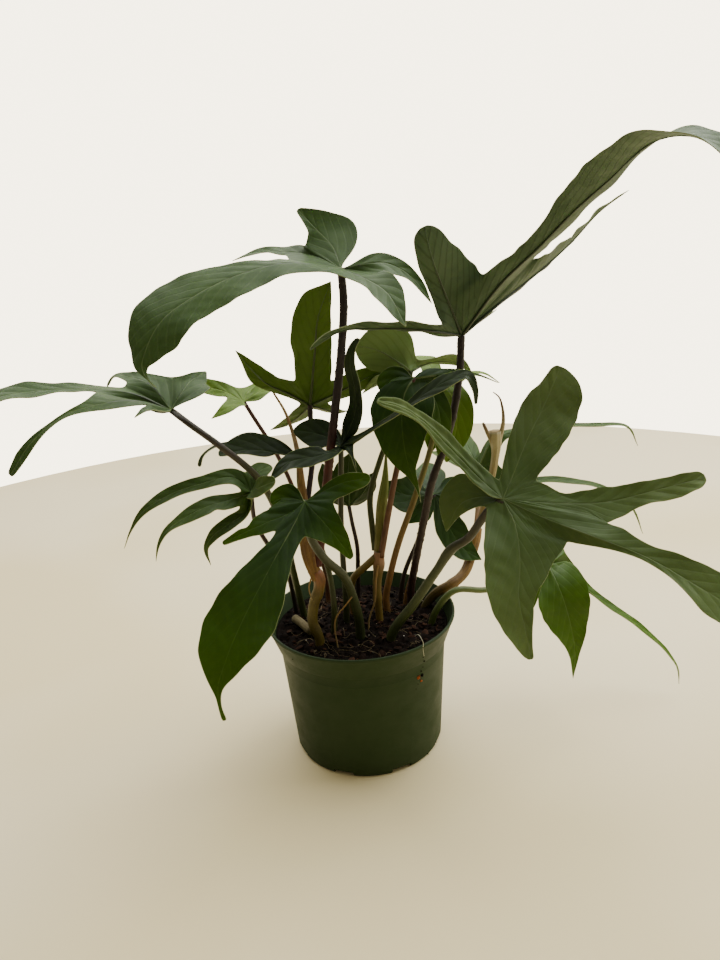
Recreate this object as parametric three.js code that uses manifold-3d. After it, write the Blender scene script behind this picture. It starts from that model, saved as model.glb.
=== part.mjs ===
// Potted philodendron: a many-stemmed young plant with hand-shaped, pointed-lobed leaves,
// growing in a round green nursery pot. Millimetres, +Z up, the pot's foot on z = 0 and
// its axis on the Z axis; the plant is seen from the front looking along +Y.
import * as THREE from 'three';
import { mergeGeometries, mergeVertices } from 'three/addons/utils/BufferGeometryUtils.js';
import Module from 'manifold-3d';

// Pot: a round grower's pot with a flared collar.
const POT_HEIGHT = 124;
const POT_LIP_RADIUS = 82.5;
const POT_COLLAR_HEIGHT = 22;
const POT_COLLAR_RADIUS = 75;
const POT_WALL_TOP_RADIUS = 73.2;
const POT_FOOT_RADIUS = 66;
const POT_WALL = 1.5;
const POT_LIP_THICKNESS = 1.9;
const POT_LIP_DEPTH = 2.2;
const POT_LIP_STEP = 0.5;
const POT_FOOT_ROUNDING = 2.5;
const POT_FLOOR = 1.6;
const PAD_RADIUS = 36;
const CHANNEL_HEIGHT = 4.6;
const CHANNEL_SLOPE = 3;
const POT_SEGMENTS = 48;
const FOOT_NOTCHES = 8;
const FOOT_NOTCH_WIDTH = 18;
const FOOT_NOTCH_HEIGHT = 4.2;
const FOOT_NOTCH_REACH = 12;
const DRAIN_HOLE_RADIUS = 4.5;
const DRAIN_HOLE_SEGMENTS = 12;
const DRAIN_RING_RADIUS = 52;

// Soil: bark and peat mix filled to a little under the rim, its crust in gentle lumps.
const SOIL_LEVEL = 111;
const SOIL_SEGMENTS = 36;
const SOIL_GAP = 0.5;
const SOIL_RINGS = [66, 55, 43, 29, 14];
const SOIL_HUMP = 2.5;
const SOIL_LUMP = 1.1;
const LUMP_LENGTH = 20;
const LUMP_SHARE = 0.6;
const CRUST_MARGIN = 1;

// Clearances between neighbouring pieces.
const GAP = 0.4;
const BLADE_GAP = 0.6;
const STALK_DROP = 0.8;

// Leaf blades.
const BLADE_THICKNESS = 0.7;
const SEAM_ROWS = 2;
const SHORTEST_SEAM = 0.08;
const LONGEST_SEAM = 0.6;
const ROW_LENGTH = 23;
const FEWEST_ROWS = 3;
const MOST_ROWS = 9;
const DEFAULT_CUP = 8;
const FACE_TURN_REACH = 1.5;
const WEB_REACH = 0.35;
const SEAM_TOLERANCE = 0.01;
const WELD_TOLERANCE = 0.001;

// Stems and stalks.
const STALK_SIDES = 8;
const STALK_STEP = 21;
const FEWEST_STALK_STEPS = 3;

// Heights that follow from the sizes above.
const COLLAR_FOOT = POT_HEIGHT - POT_COLLAR_HEIGHT;
const CHANNEL_TOP = CHANNEL_HEIGHT + POT_FLOOR;

// The viewpoint that the plant's places are given from: its distance and elevation from the
// pot's foot, its turns in degrees, and its focal length in the columns of its view.
const VIEW_COLUMNS = 720;
const VIEW_ROWS = 960;
const VIEW_FOCAL = 780;
const VIEW_DISTANCE = 765;
const VIEW_ELEVATION = 36.3;
const VIEW_PAN = 0.73;
const VIEW_TILT = 18.6;
const VIEW_ROLL = -4.19;

// Colours and finishes.
const FINISHES = {
  potPlastic: { color: 0x3a4025, roughness: 0.5 },
  soilMix: { color: 0x1d1610, roughness: 0.95 },
  darkLeaf: { color: 0x2b4527, roughness: 0.42 },
  freshLeaf: { color: 0x486425, roughness: 0.45 },
  greyLeaf: { color: 0x4c5a3c, roughness: 0.4 },
  purpleStalk: { color: 0x32211f, roughness: 0.6 },
  redStalk: { color: 0x5d2f20, roughness: 0.55 },
  oliveStalk: { color: 0x59602f, roughness: 0.55 },
  goldenStem: { color: 0x84712f, roughness: 0.6 },
  drySheath: { color: 0x9a7038, roughness: 0.75 },
  paleSheath: { color: 0x98a252, roughness: 0.65 },
  strawStub: { color: 0xb5a883, roughness: 0.8 },
  tanRoot: { color: 0xa58a58, roughness: 0.85 },
};

// Each leaf: the junction where all ribs meet, the way its upper face looks there, the
// points between neighbouring lobes (webs), and its lobes counter-clockwise from above.
// Junction, web and rib places are [column, row, depth]: where they are seen in the view,
// and how many millimetres they lie behind the pot's axis. A lobe's rib runs out from the
// junction; left and right are half widths in millimetres at even stations along it; face
// and tip turn its upper face, and cup raises its edges in degrees.
const LEAVES = {
  crown_left: {
    finish: 'greyLeaf', junction: [341, 269, -10], face: [0.1, -0.55, 0.83],
    webs: [[304, 246, 15], [288, 260, -8], [330, 272, -24], [388, 274, -20]],
    lobes: [
      { rib: [[333, 247, 8], [315, 228, 22], [297, 209, 24]],
        left: [6, 9, 11, 6, 1], right: [6, 24, 30, 18, 1], face: [0, -0.9, 0.4] },
      { rib: [[318, 258, 5], [285, 254, 30], [255, 255, 45], [232, 263, 45]],
        left: [6, 9, 8, 5, 0], face: [0, -0.25, 1] },
      { rib: [[287, 263, -25], [238, 275, -48], [193, 297, -66], [158, 323, -78],
        [145, 363, -84], [148, 376, -88], [158, 384, -94]],
        left: [5, 5, 9, 15, 17, 18, 19, 9, 0], right: [3, 3, 3, 12, 19, 26, 26, 9, 0],
        face: [-0.1, -0.75, 0.65], cup: -6 },
      { rib: [[366, 279, -35], [389, 295, -62], [406, 327, -84]],
        left: [6, 9, 12, 13, 11, 6, 0], right: [6, 4, 6, 8, 10, 7, 0],
        face: [0.3, -0.6, 0.7] },
      { rib: [[364, 264, -13], [386, 263, -9], [404, 271, -6], [418, 284, -4], [432, 304, -4]],
        left: [1, 7, 9, 8, 6, 4, 0], right: [10, 10, 12, 9, 5, 3, 0],
        face: [0.25, -0.75, 0.6] },
    ],
  },
  crown_right: {
    finish: 'greyLeaf', junction: [461, 335, 10], face: [-0.5, 0.55, 0.62],
    webs: [[444, 325, -6], [483, 275, -6], [534, 257, 30], [476, 324, 30]],
    lobes: [
      { rib: [[430, 329, -12], [380, 327, -32], [335, 332, -48], [311, 348, -54]],
        left: [4, 6, 8, 9, 9, 6, 0], right: [6, 10, 10, 7, 4, 2, 0], face: [0.1, 0.25, 0.95] },
      { rib: [[452, 312, 2], [440, 282, -12], [430, 252, -28], [423, 226, -36]],
        left: [27, 29, 33, 28, 21, 12, 4], right: [8, 9, 10, 10, 11, 11, 4],
        face: [-0.3, 0.75, 0.35] },
      { rib: [[502, 281, 2], [539, 246, -6], [573, 209, -16], [608, 176, -30],
        [654, 138, -52], [692, 133, -72], [725, 152, -88], [752, 190, -100]],
        left: [12, 13, 14, 14, 15, 19, 23, 22, 15, 6, 0],
        right: [9, 10, 11, 12, 13, 20, 24, 22, 15, 6, 0],
        face: [-0.45, 0.65, 0.6], tip: [0.3, -0.15, 0.95] },
      { rib: [[495, 305, 22], [520, 284, 42], [547, 262, 60], [573, 239, 76],
        [599, 212, 88], [629, 190, 96]],
        left: [12, 14, 14, 10, 5, 2, 0], right: [12, 16, 20, 18, 12, 7, 0],
        face: [-0.55, 0.2, 0.8] },
      { rib: [[474, 328, 40], [492, 318, 66], [505, 318, 84]],
        left: [5, 10, 10, 7, 0], face: [-0.3, 0.3, 0.9] },
    ],
  },
  far_left: {
    finish: 'greyLeaf', junction: [171, 410, -50], face: [-0.1, -0.5, 0.86],
    webs: [[172, 378, -26], [123, 388, -36], [96, 392, -70], [150, 404, -70]],
    lobes: [
      { rib: [[182, 394, -40], [192, 380, -24], [206, 373, -12]],
        left: [6, 16, 14, 8, 1], face: [0.3, -0.7, 0.6] },
      { rib: [[152, 387, -38], [128, 378, -20], [112, 378, -8], [107, 387, -6]],
        left: [6, 10, 9, 6, 1], face: [0, -0.4, 0.9] },
      { rib: [[135, 396, -58], [95, 389, -64], [50, 388, -72], [0, 397, -80], [-45, 418, -86]],
        left: [6, 10, 7, 11, 15, 12, 0], face: [0.1, 0.1, 0.98] },
      { rib: [[140, 402, -66], [100, 403, -86], [66, 414, -100], [34, 441, -112],
        [10, 475, -118]],
        left: [6, 10, 13, 8, 3, 5, 1], face: [0, -0.75, 0.65] },
      { rib: [[160, 412, -66], [145, 410, -80], [134, 418, -86]],
        left: [4, 7, 6, 4, 0], face: [0, -0.3, 0.95] },
    ],
  },
  upright: {
    finish: 'freshLeaf', junction: [310, 405, 30], face: [0, 0.93, 0.35],
    webs: [[303, 403, 34], [295, 381, 25], [331, 381, 25], [325, 402, 38]],
    lobes: [
      { rib: [[300, 415, 45], [285, 425, 60], [270, 430, 70]],
        left: [4, 8, 8, 5, 0], face: [0, 0.6, 0.8] },
      { rib: [[290, 394, 32], [266, 383, 30], [250, 368, 28], [235, 350, 24]],
        left: [10, 11, 10, 10, 8, 5, 0], right: [3, 4, 5, 7, 8, 3, 0],
        face: [-0.2, 0.85, 0.45] },
      { rib: [[312, 385, 26], [315, 352, 18], [318, 318, 8], [331, 281, -4]],
        left: [12, 13, 14, 13, 11, 7, 0], right: [14, 15, 17, 21, 20, 16, 0],
        face: [0.1, 0.97, 0.1] },
      { rib: [[330, 396, 32], [352, 385, 34], [372, 375, 34], [392, 368, 32]],
        left: [5, 10, 11, 8, 0], face: [0.2, 0.85, 0.45] },
      { rib: [[325, 409, 44], [338, 413, 56], [350, 410, 66]],
        left: [4, 6, 7, 5, 0], face: [0, 0.5, 0.9] },
    ],
  },
  back_left: {
    finish: 'freshLeaf', junction: [244, 402, 60], face: [0, -0.4, 0.9],
    webs: [[250, 392, 72], [236, 388, 68], [228, 396, 54]],
    lobes: [
      { rib: [[255, 394, 66], [266, 389, 74], [276, 388, 84]],
        left: [4, 9, 9, 6, 0], face: [0, -0.5, 0.85] },
      { rib: [[243, 392, 72], [246, 382, 84], [250, 375, 92]],
        left: [4, 6, 6, 4, 0], face: [0, -0.3, 0.9] },
      { rib: [[225, 391, 60], [205, 381, 60], [188, 376, 60], [170, 376, 58]],
        left: [5, 11, 12, 9, 0], face: [0.1, -0.6, 0.8] },
      { rib: [[236, 404, 48], [228, 409, 38], [214, 420, 28]],
        left: [4, 9, 8, 4, 0], face: [-0.3, -0.7, 0.6] },
    ],
  },
  centre_hanging: {
    finish: 'darkLeaf', junction: [413, 378, -14], face: [0, -0.75, 0.66],
    webs: [[388, 382, -12], [431, 381, -8], [432, 378, -8]],
    lobes: [
      { rib: [[398, 378, -4], [382, 381, 6], [364, 392, 14]],
        left: [5, 9, 9, 6, 0], face: [0, -0.5, 0.85] },
      { rib: [[405, 392, -20], [402, 412, -27], [403, 438, -32], [408, 464, -35],
        [417, 487, -37], [421, 503, -38]],
        left: [16, 23, 26, 23, 16, 9, 3, 0], right: [13, 16, 20, 20, 17, 11, 4, 0],
        face: [-0.15, -0.9, 0.35] },
      { rib: [[428, 388, -8], [437, 404, -10], [441, 430, -12], [438, 456, -12]],
        left: [4, 8, 10, 8, 0], face: [0.3, -0.8, 0.5] },
      { rib: [[432, 374, -10], [455, 369, -8], [478, 374, -6], [499, 383, -4]],
        left: [5, 11, 7, 2, 0], face: [0, -0.4, 0.9] },
    ],
  },
  centre_back: {
    finish: 'freshLeaf', junction: [438, 380, 60], face: [0.1, -0.7, 0.7],
    webs: [[426, 378, 60], [441, 392, 54], [460, 384, 64]],
    lobes: [
      { rib: [[430, 366, 75], [424, 358, 95], [416, 356, 115]],
        left: [5, 14, 15, 10, 1], face: [0, -0.5, 0.85] },
      { rib: [[432, 400, 48], [434, 425, 42], [430, 455, 38]],
        left: [5, 12, 13, 9, 0], face: [-0.1, -0.9, 0.4] },
      { rib: [[452, 395, 54], [461, 415, 50], [458, 440, 46], [448, 466, 42]],
        left: [6, 14, 16, 12, 1], face: [0.1, -0.95, 0.3] },
      { rib: [[455, 378, 70], [470, 374, 90], [490, 380, 110]],
        left: [5, 12, 12, 8, 0], face: [0, -0.5, 0.85] },
    ],
  },
  front_right: {
    finish: 'darkLeaf', junction: [503, 499, -85], face: [0, -0.66, 0.75],
    webs: [[487, 506, -86], [569, 543, -112], [612, 524, -112], [534, 481, -78],
      [500, 482, -76]],
    lobes: [
      { rib: [[480, 497, -72], [462, 503, -64], [446, 532, -66]],
        left: [7, 8, 8, 9, 7, 3, 0], right: [10, 11, 12, 22, 17, 9, 0],
        face: [-0.2, -0.75, 0.6] },
      { rib: [[514, 522, -98], [520, 560, -116], [519, 600, -132], [526, 632, -142],
        [531, 660, -150]],
        left: [19, 21, 28, 22, 14, 9, 3, 0], right: [18, 20, 25, 26, 24, 19, 13, 0],
        face: [0, -0.85, 0.5] },
      { rib: [[545, 518, -100], [590, 535, -118], [648, 558, -136], [692, 583, -150],
        [735, 610, -162], [775, 648, -172]],
        left: [10, 11, 11, 12, 9, 14, 17, 12, 0], right: [3, 4, 8, 4, 3, 6, 15, 12, 0],
        face: [0.1, -0.8, 0.6] },
      { rib: [[550, 503, -92], [605, 502, -98], [660, 490, -104], [706, 476, -108]],
        left: [8, 10, 15, 14, 6, 8, 10, 9, 8, 7, 5, 4, 0],
        right: [10, 11, 13, 16, 9, 9, 0], face: [0, -0.75, 0.65] },
      { rib: [[515, 470, -72], [527, 435, -58], [545, 405, -44], [564, 367, -32]],
        left: [7, 9, 12, 11, 16, 11, 1], right: [15, 17, 19, 25, 25, 21, 1],
        face: [-0.1, -0.85, 0.45] },
      { rib: [[480, 478, -76], [448, 445, -78], [415, 409, -86], [396, 400, -94],
        [379, 403, -100]],
        left: [5, 8, 11, 12, 11, 8, 5, 1], right: [5, 8, 11, 12, 11, 8, 4, 1],
        face: [0.5, -0.75, 0.45] },
    ],
  },
  low_right: {
    finish: 'freshLeaf', junction: [548, 565, 30], face: [0.15, -0.4, 0.9],
    webs: [[545, 582, 22], [580, 572, 28], [568, 560, 40]],
    lobes: [
      { rib: [[535, 575, 20], [528, 600, 10], [526, 625, 4]],
        left: [5, 9, 9, 6, 0] },
      { rib: [[560, 590, 12], [570, 622, 4], [575, 650, 0], [573, 679, -2]],
        left: [20, 25, 22, 17, 11, 4, 2, 0], right: [9, 14, 19, 17, 11, 7, 3, 0],
        face: [0, -0.9, 0.4] },
      { rib: [[585, 585, 24], [620, 602, 22], [652, 632, 18], [673, 657, 14], [681, 683, 12]],
        left: [5, 6, 7, 7, 5, 0], face: [0.35, -0.3, 0.9] },
      { rib: [[565, 555, 50], [582, 545, 75], [598, 540, 100]],
        left: [5, 11, 12, 8, 0] },
    ],
  },
  back_right: {
    finish: 'greyLeaf', junction: [478, 470, 90], face: [0.1, -0.45, 0.9],
    webs: [[510, 465, 92], [492, 452, 106], [468, 456, 106]],
    lobes: [
      { rib: [[500, 480, 84], [560, 478, 80], [603, 485, 76], [632, 508, 72], [643, 534, 70]],
        left: [5, 9, 9, 7, 5, 0], face: [0.2, -0.35, 0.9] },
      { rib: [[500, 452, 96], [545, 434, 100], [598, 425, 104], [630, 428, 106],
        [638, 446, 106]],
        left: [5, 9, 9, 8, 5, 0], face: [0, -0.4, 0.9] },
      { rib: [[480, 455, 120], [485, 440, 150], [490, 432, 185]],
        left: [5, 16, 18, 12, 0] },
      { rib: [[462, 462, 105], [445, 455, 125], [430, 452, 140]],
        left: [5, 10, 10, 7, 0] },
    ],
  },
  front_left: {
    finish: 'darkLeaf', junction: [305, 502, -74], face: [-0.1, -0.82, 0.56],
    webs: [[264, 510, -76], [277, 530, -90], [304, 536, -92], [332, 501, -78]],
    lobes: [
      { rib: [[292, 495, -68], [278, 493, -66], [266, 501, -68]],
        left: [4, 10, 12, 8, 2], face: [0, -0.85, 0.5] },
      { rib: [[290, 513, -78], [268, 522, -84], [246, 535, -90], [223, 545, -94]],
        left: [7, 8, 8, 8, 6, 3, 1.7, 0], right: [4, 4, 4, 5, 5, 2.3, 1.1, 0],
        face: [0, -0.85, 0.5] },
      { rib: [[292, 528, -90], [278, 553, -104], [262, 583, -118], [242, 622, -132],
        [226, 660, -144], [218, 690, -150], [220, 708, -154], [225, 721, -156]],
        left: [9, 9, 10, 15, 21, 24, 20, 11, 3, 0], right: [8, 8, 9, 15, 20, 24, 24, 18, 2.6, 0],
        face: [-0.1, -0.85, 0.5] },
      { rib: [[318, 516, -84], [333, 533, -90], [352, 559, -96]],
        left: [12, 14, 15, 12, 10, 8, 5, 0], right: [13, 14, 15, 15, 11, 7, 4, 0],
        face: [0.1, -0.85, 0.5] },
      { rib: [[322, 492, -70], [345, 482, -70], [371, 478, -72]],
        left: [1.5, 2, 3, 4, 6, 5, 4, 0], right: [9, 10, 10, 10, 10, 9, 6, 0],
        face: [0, -0.85, 0.5] },
    ],
  },
  centre_dark: {
    finish: 'darkLeaf', junction: [341, 446, -10], face: [0, -0.6, 0.8],
    webs: [[345, 451, -18], [354, 444, -19], [350, 437, -13], [342, 438, -5]],
    lobes: [
      { rib: [[337, 450, -24], [329, 453, -38], [313, 457, -43], [290, 462, -46],
        [271, 479, -50]],
        left: [4, 5, 9, 11, 11, 8, 0], face: [-0.35, -0.6, 0.75] },
      { rib: [[348, 450, -26], [354, 458, -34], [358, 475, -38]],
        left: [3, 7, 7, 1.5, 0], face: [0.1, -0.8, 0.5] },
      { rib: [[356, 437, -28], [376, 424, -42], [402, 408, -54], [428, 393, -60],
        [452, 381, -64], [473, 376, -68], [477, 394, -66], [476, 414, -64]],
        left: [4, 7, 6, 6, 7, 10, 10, 6, 0], face: [0.1, -0.6, 0.8] },
      { rib: [[349, 430, -15], [355, 408, -14], [354, 385, -14], [350, 361, -15],
        [356, 339, -16]],
        left: [3, 9, 11, 8, 6, 0], face: [-0.5, -0.8, 0.3] },
      { rib: [[335, 440, 0], [324, 436, 8], [309, 431, 12], [293, 428, 13]],
        left: [3, 7, 14, 15, 12, 2], face: [0, -0.85, 0.5] },
    ],
  },
  left_middle: {
    finish: 'darkLeaf', junction: [299, 456, 14], face: [0, -0.6, 0.8],
    webs: [[281, 448, 15]],
    lobes: [
      { rib: [[277, 451, 6], [250, 448, -4], [219, 455, -14]],
        left: [5, 13, 15, 10, 1], face: [0, -0.75, 0.65] },
      { rib: [[278, 446, 24], [240, 440, 34], [214, 446, 40], [202, 457, 42], [200, 469, 42]],
        left: [3, 5, 4, 3, 3, 1], face: [0, -0.5, 0.85] },
    ],
  },
  left_low: {
    finish: 'greyLeaf', junction: [251, 492, -38], face: [-0.1, -0.6, 0.8],
    webs: [[247, 481, -38], [244, 492, -48], [240, 506, -50], [253, 499, -45]],
    lobes: [
      { rib: [[254, 480, -32], [260, 469, -24], [272, 463, -14]],
        left: [4, 10, 11, 8, 1], face: [0, -0.6, 0.8] },
      { rib: [[235, 481, -40], [200, 486, -48], [165, 496, -54], [142, 512, -60],
        [131, 528, -62], [124, 549, -62]],
        left: [5, 8, 10, 10, 8, 2, 0], face: [0, -0.65, 0.75] },
      { rib: [[232, 499, -52], [208, 506, -64], [183, 519, -74], [164, 535, -82],
        [158, 547, -84], [158, 562, -84]],
        left: [5, 10, 12, 10, 6, 1, 0], face: [0, -0.6, 0.8] },
      { rib: [[247, 508, -44], [232, 523, -46], [212, 540, -48], [205, 552, -48],
        [209, 571, -48]],
        left: [5, 8, 9, 6, 2, 0], face: [0, -0.7, 0.7] },
      { rib: [[249, 494, -56], [252, 492, -70], [258, 487, -84]],
        left: [3, 4, 8, 9, 3], face: [-0.1, -0.7, 0.7] },
    ],
  },
  centre_round: {
    finish: 'greyLeaf', junction: [411, 371, 16], face: [-0.2, 0.75, 0.6],
    webs: [[394, 372, 20], [415, 362, 22]],
    lobes: [
      { rib: [[395, 375, 26], [378, 382, 36], [362, 394, 42]],
        left: [4, 9, 9, 6, 0], face: [0, 0.4, 0.9] },
      { rib: [[398, 362, 14], [380, 350, 12], [362, 340, 10]],
        left: [11, 14, 18, 20, 18, 14, 8, 2], right: [8, 10, 12, 15, 19, 20, 13, 2],
        face: [-0.3, 0.85, 0.4] },
      { rib: [[424, 364, 28], [440, 361, 40], [456, 362, 50], [472, 372, 58]],
        left: [5, 10, 11, 8, 0], face: [0, 0.5, 0.85] },
    ],
  },
  inner_right: {
    finish: 'darkLeaf', junction: [434, 494, 48], face: [0, -0.55, 0.85],
    webs: [[418, 503, 41], [434, 508, 41], [446, 497, 46], [440, 486, 56]],
    lobes: [
      { rib: [[420, 496, 42], [400, 493, 38], [382, 482, 36]],
        left: [6, 16, 18, 12, 0], face: [0, -0.8, 0.55] },
      { rib: [[427, 506, 42], [417, 514, 38], [406, 524, 34]],
        left: [6, 13, 13, 7, 0], face: [0, -0.85, 0.5] },
      { rib: [[442, 512, 40], [452, 532, 34], [464, 549, 30], [482, 560, 28]],
        left: [6, 11, 14, 11, 0], face: [0, -0.75, 0.65] },
      { rib: [[448, 490, 52], [460, 485, 56], [472, 486, 58]],
        left: [6, 11, 12, 8, 0], face: [0, -0.6, 0.8] },
      { rib: [[432, 482, 66], [428, 470, 84], [424, 462, 104]],
        left: [6, 13, 14, 9, 0] },
    ],
  },
  inner_left: {
    finish: 'darkLeaf', junction: [349, 506, 46], face: [0, 0.75, 0.65],
    webs: [[344, 494, 50], [354, 494, 50]],
    lobes: [
      { rib: [[338, 496, 52], [328, 480, 58], [322, 463, 62]],
        left: [5, 12, 13, 9, 0], face: [0, 0.85, 0.5] },
      { rib: [[349, 490, 52], [348, 472, 56], [350, 452, 58]],
        left: [5, 13, 15, 11, 0], face: [0, 0.9, 0.4] },
      { rib: [[358, 498, 52], [366, 488, 56], [374, 472, 58]],
        left: [5, 11, 12, 8, 0], face: [0, 0.85, 0.5] },
    ],
  },
};

// Stems, leaf stalks, sheaths and roots, each from its foot to its top. A path's places are
// [column, row, depth] as for the leaves; buried and sunk places, which the soil hides, are
// [x, y, z] before and after it. Foot and top are the radii at the ends. A stalk named like
// a leaf carries that leaf.
const STALKS = {
  stem_left: { finish: 'goldenStem', foot: 4.6, top: 6.2, buried: [[-38, -31, 100]],
    path: [[318, 636, -31], [313, 620, -30], [315, 602, -28], [319, 588, -27],
      [319, 577, -27], [314, 570, -27]] },
  stem_middle: { finish: 'oliveStalk', foot: 4.2, top: 5.6, buried: [[17, -2, 100]],
    path: [[379, 612, -2], [377, 585, -2], [379, 562, -2], [379, 551, -2]] },
  branch_middle: { finish: 'oliveStalk', foot: 4, top: 3.2, sunk: [[-6, 14, 100]],
    path: [[376, 557, -2], [366, 566, 2], [355, 576, 8]] },
  stem_right: { finish: 'goldenStem', foot: 4.2, top: 5.2, buried: [[54, 22, 100]],
    path: [[430, 599, 22], [440, 590, 18], [450, 585, 16], [464, 573, 24], [472, 552, 36],
      [477, 528, 48]] },
  crown_left: { finish: 'purpleStalk', foot: 3.8, top: 3,
    path: [[317, 566, -27], [320, 545, -22], [324, 500, -17], [328, 455, -14],
      [331, 412, -12], [335, 376, -10], [338, 341, -10], [341, 305, -9], [341, 269, -10]] },
  crown_right: { finish: 'purpleStalk', foot: 3.6, top: 3, buried: [[46, 20, 100]],
    path: [[411, 590, 20], [416, 560, 16], [424, 520, 10], [433, 478, 6], [444, 448, 6],
      [455, 405, 8], [460, 369, 9], [461, 335, 10]] },
  far_left: { finish: 'oliveStalk', foot: 3.2, top: 2.4, buried: [[-50, 20, 100]],
    path: [[302, 606, 18], [293, 570, 4], [285, 535, -18], [275, 507, -34], [256, 476, -50],
      [220, 446, -62], [188, 423, -60], [171, 410, -50]] },
  upright: { finish: 'purpleStalk', foot: 2.6, top: 2.2,
    path: [[311, 573, -23], [307, 530, -14], [308, 500, 0], [312, 462, 16], [311, 430, 26],
      [310, 405, 30]] },
  back_left: { finish: 'redStalk', foot: 2.4, top: 1.8, buried: [[-30, 44, 100]],
    path: [[326, 575, 48], [305, 520, 56], [285, 470, 62], [269, 441, 62], [256, 421, 60],
      [244, 402, 60]] },
  centre_hanging: { finish: 'redStalk', foot: 2.8, top: 2.2,
    path: [[381, 557, -4], [389, 510, -3], [396, 473, -2], [404, 440, -2], [410, 405, -4],
      [413, 378, -14]] },
  centre_back: { finish: 'goldenStem', foot: 3.2, top: 2.2, buried: [[26, 18, 100]],
    path: [[386, 600, 16], [390, 576, 14], [398, 545, 14], [414, 500, 24], [430, 450, 36],
      [438, 410, 50], [438, 380, 60]] },
  front_right: { finish: 'oliveStalk', foot: 4.2, top: 3, buried: [[20, -33, 100]],
    path: [[393, 632, -36], [413, 605, -42], [437, 570, -52], [454, 547, -60],
      [466, 540, -64], [480, 522, -74], [490, 509, -80], [503, 499, -85]] },
  low_right: { finish: 'oliveStalk', foot: 3, top: 2.4,
    buried: [[58, -10, 100], [66, -10, 124]],
    path: [[452, 592, -6], [484, 590, 4], [518, 584, 18], [538, 578, 28], [548, 565, 30]] },
  back_right: { finish: 'goldenStem', foot: 2.8, top: 2.2,
    path: [[476, 533, 47], [478, 508, 66], [478, 490, 80], [478, 470, 90]] },
  front_left: { finish: 'oliveStalk', foot: 4.2, top: 3, buried: [[-2, -26, 100]],
    path: [[359, 620, -28], [353, 597, -32], [345, 578, -38], [324, 558, -50],
      [311, 538, -60], [306, 520, -68], [305, 502, -74]] },
  centre_dark: { finish: 'oliveStalk', foot: 2.8, top: 2.2, buried: [[-14, 2, 100]],
    path: [[346, 600, 2], [343, 560, 2], [341, 520, 0], [341, 480, -8], [341, 446, -10]] },
  left_middle: { finish: 'oliveStalk', foot: 2.6, top: 2, buried: [[-26, -14, 100]],
    path: [[334, 605, -18], [329, 572, -12], [316, 535, -2], [304, 510, 8], [299, 480, 13],
      [299, 456, 14]] },
  left_low: { finish: 'purpleStalk', foot: 2.2, top: 1.8, buried: [[-58, 30, 100]],
    path: [[292, 590, 26], [286, 568, 10], [267, 543, -14], [255, 521, -28],
      [251, 492, -38]] },
  centre_round: { finish: 'oliveStalk', foot: 2.8, top: 2,
    path: [[375, 550, 3], [372, 525, 8], [370, 500, 14], [380, 460, 22], [396, 420, 22],
      [407, 392, 18], [411, 371, 16]] },
  inner_right: { finish: 'purpleStalk', foot: 2.4, top: 1.8, buried: [[36, 36, 100]],
    path: [[404, 575, 38], [418, 540, 42], [428, 515, 46], [434, 494, 48]] },
  inner_left: { finish: 'purpleStalk', foot: 2.4, top: 1.8, buried: [[-2, 48, 100]],
    path: [[358, 575, 48], [357, 545, 47], [352, 522, 46], [349, 506, 46]] },
  shoot_left: { finish: 'drySheath', foot: 3.2, top: 0.5,
    path: [[311, 574, -30], [304, 530, -16], [303, 500, -8], [299, 462, 4], [293, 434, 27],
      [284, 410, 40], [273, 392, 46], [266, 380, 48]] },
  sheath_middle: { finish: 'paleSheath', foot: 2.6, top: 0.5,
    path: [[379, 557, -1], [380, 510, 4], [384, 480, 8], [385, 457, 10]] },
  horned_stub: { finish: 'drySheath', foot: 2.4, top: 4.5,
    path: [[476, 535, 44], [487, 495, 53], [492, 470, 57], [495, 448, 56], [497, 434, 56]] },
  horn_up: { finish: 'drySheath', foot: 2.4, top: 0.6,
    path: [[499, 440, 56], [501, 420, 56], [499, 404, 56], [494, 392, 58]] },
  horn_side: { finish: 'drySheath', foot: 2.2, top: 0.6,
    path: [[494, 446, 56], [488, 436, 54], [482, 423, 52]] },
  small_shoot: { finish: 'drySheath', foot: 2.2, top: 0.6, buried: [[40, 30, 100]],
    path: [[407, 590, 30], [411, 574, 30], [415, 558, 30]] },
  cut_stub: { finish: 'strawStub', foot: 4, top: 4,
    buried: [[-59, 8, 117], [-52, -4, 117.5], [-44, -18, 117]], path: [] },
  root_left: { finish: 'tanRoot', foot: 0.9, top: 0.5,
    path: [[311, 578, -33], [309, 588, -35], [312, 600, -35]] },
  root_middle: { finish: 'tanRoot', foot: 1, top: 0.7, sunk: [[6, -13, 100]],
    path: [[378, 565, -7], [376, 579, -11], [375, 600, -14], [369, 621, -14]] },
  root_front: { finish: 'tanRoot', foot: 0.9, top: 0.7, sunk: [[-19, -40, 100]],
    path: [[352, 597, -38], [345, 606, -40], [337, 616, -40], [337, 643, -40]] },
};

const wasm = await Module();
wasm.setup();

/** A vector from three numbers. */
function vec(point) {
  return new THREE.Vector3(...point);
}

/** The viewpoint's eye and its directions ahead, right and up. */
function viewpoint() {
  const [elevation, pan, tilt, roll] = [VIEW_ELEVATION, VIEW_PAN, VIEW_TILT, VIEW_ROLL]
    .map((degrees) => THREE.MathUtils.degToRad(degrees));
  const eye = vec([0, -Math.cos(elevation), Math.sin(elevation)])
    .multiplyScalar(VIEW_DISTANCE);
  const ahead = vec([
    Math.sin(pan) * Math.cos(tilt), Math.cos(pan) * Math.cos(tilt), -Math.sin(tilt)]);
  const level = ahead.clone().cross(vec([0, 0, 1])).normalize();
  const upright = level.clone().cross(ahead);
  return {
    eye,
    ahead,
    right: level.clone().multiplyScalar(Math.cos(roll)).addScaledVector(upright, Math.sin(roll)),
    up: upright.clone().multiplyScalar(Math.cos(roll)).addScaledVector(level, -Math.sin(roll)),
  };
}

const VIEW = viewpoint();

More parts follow.
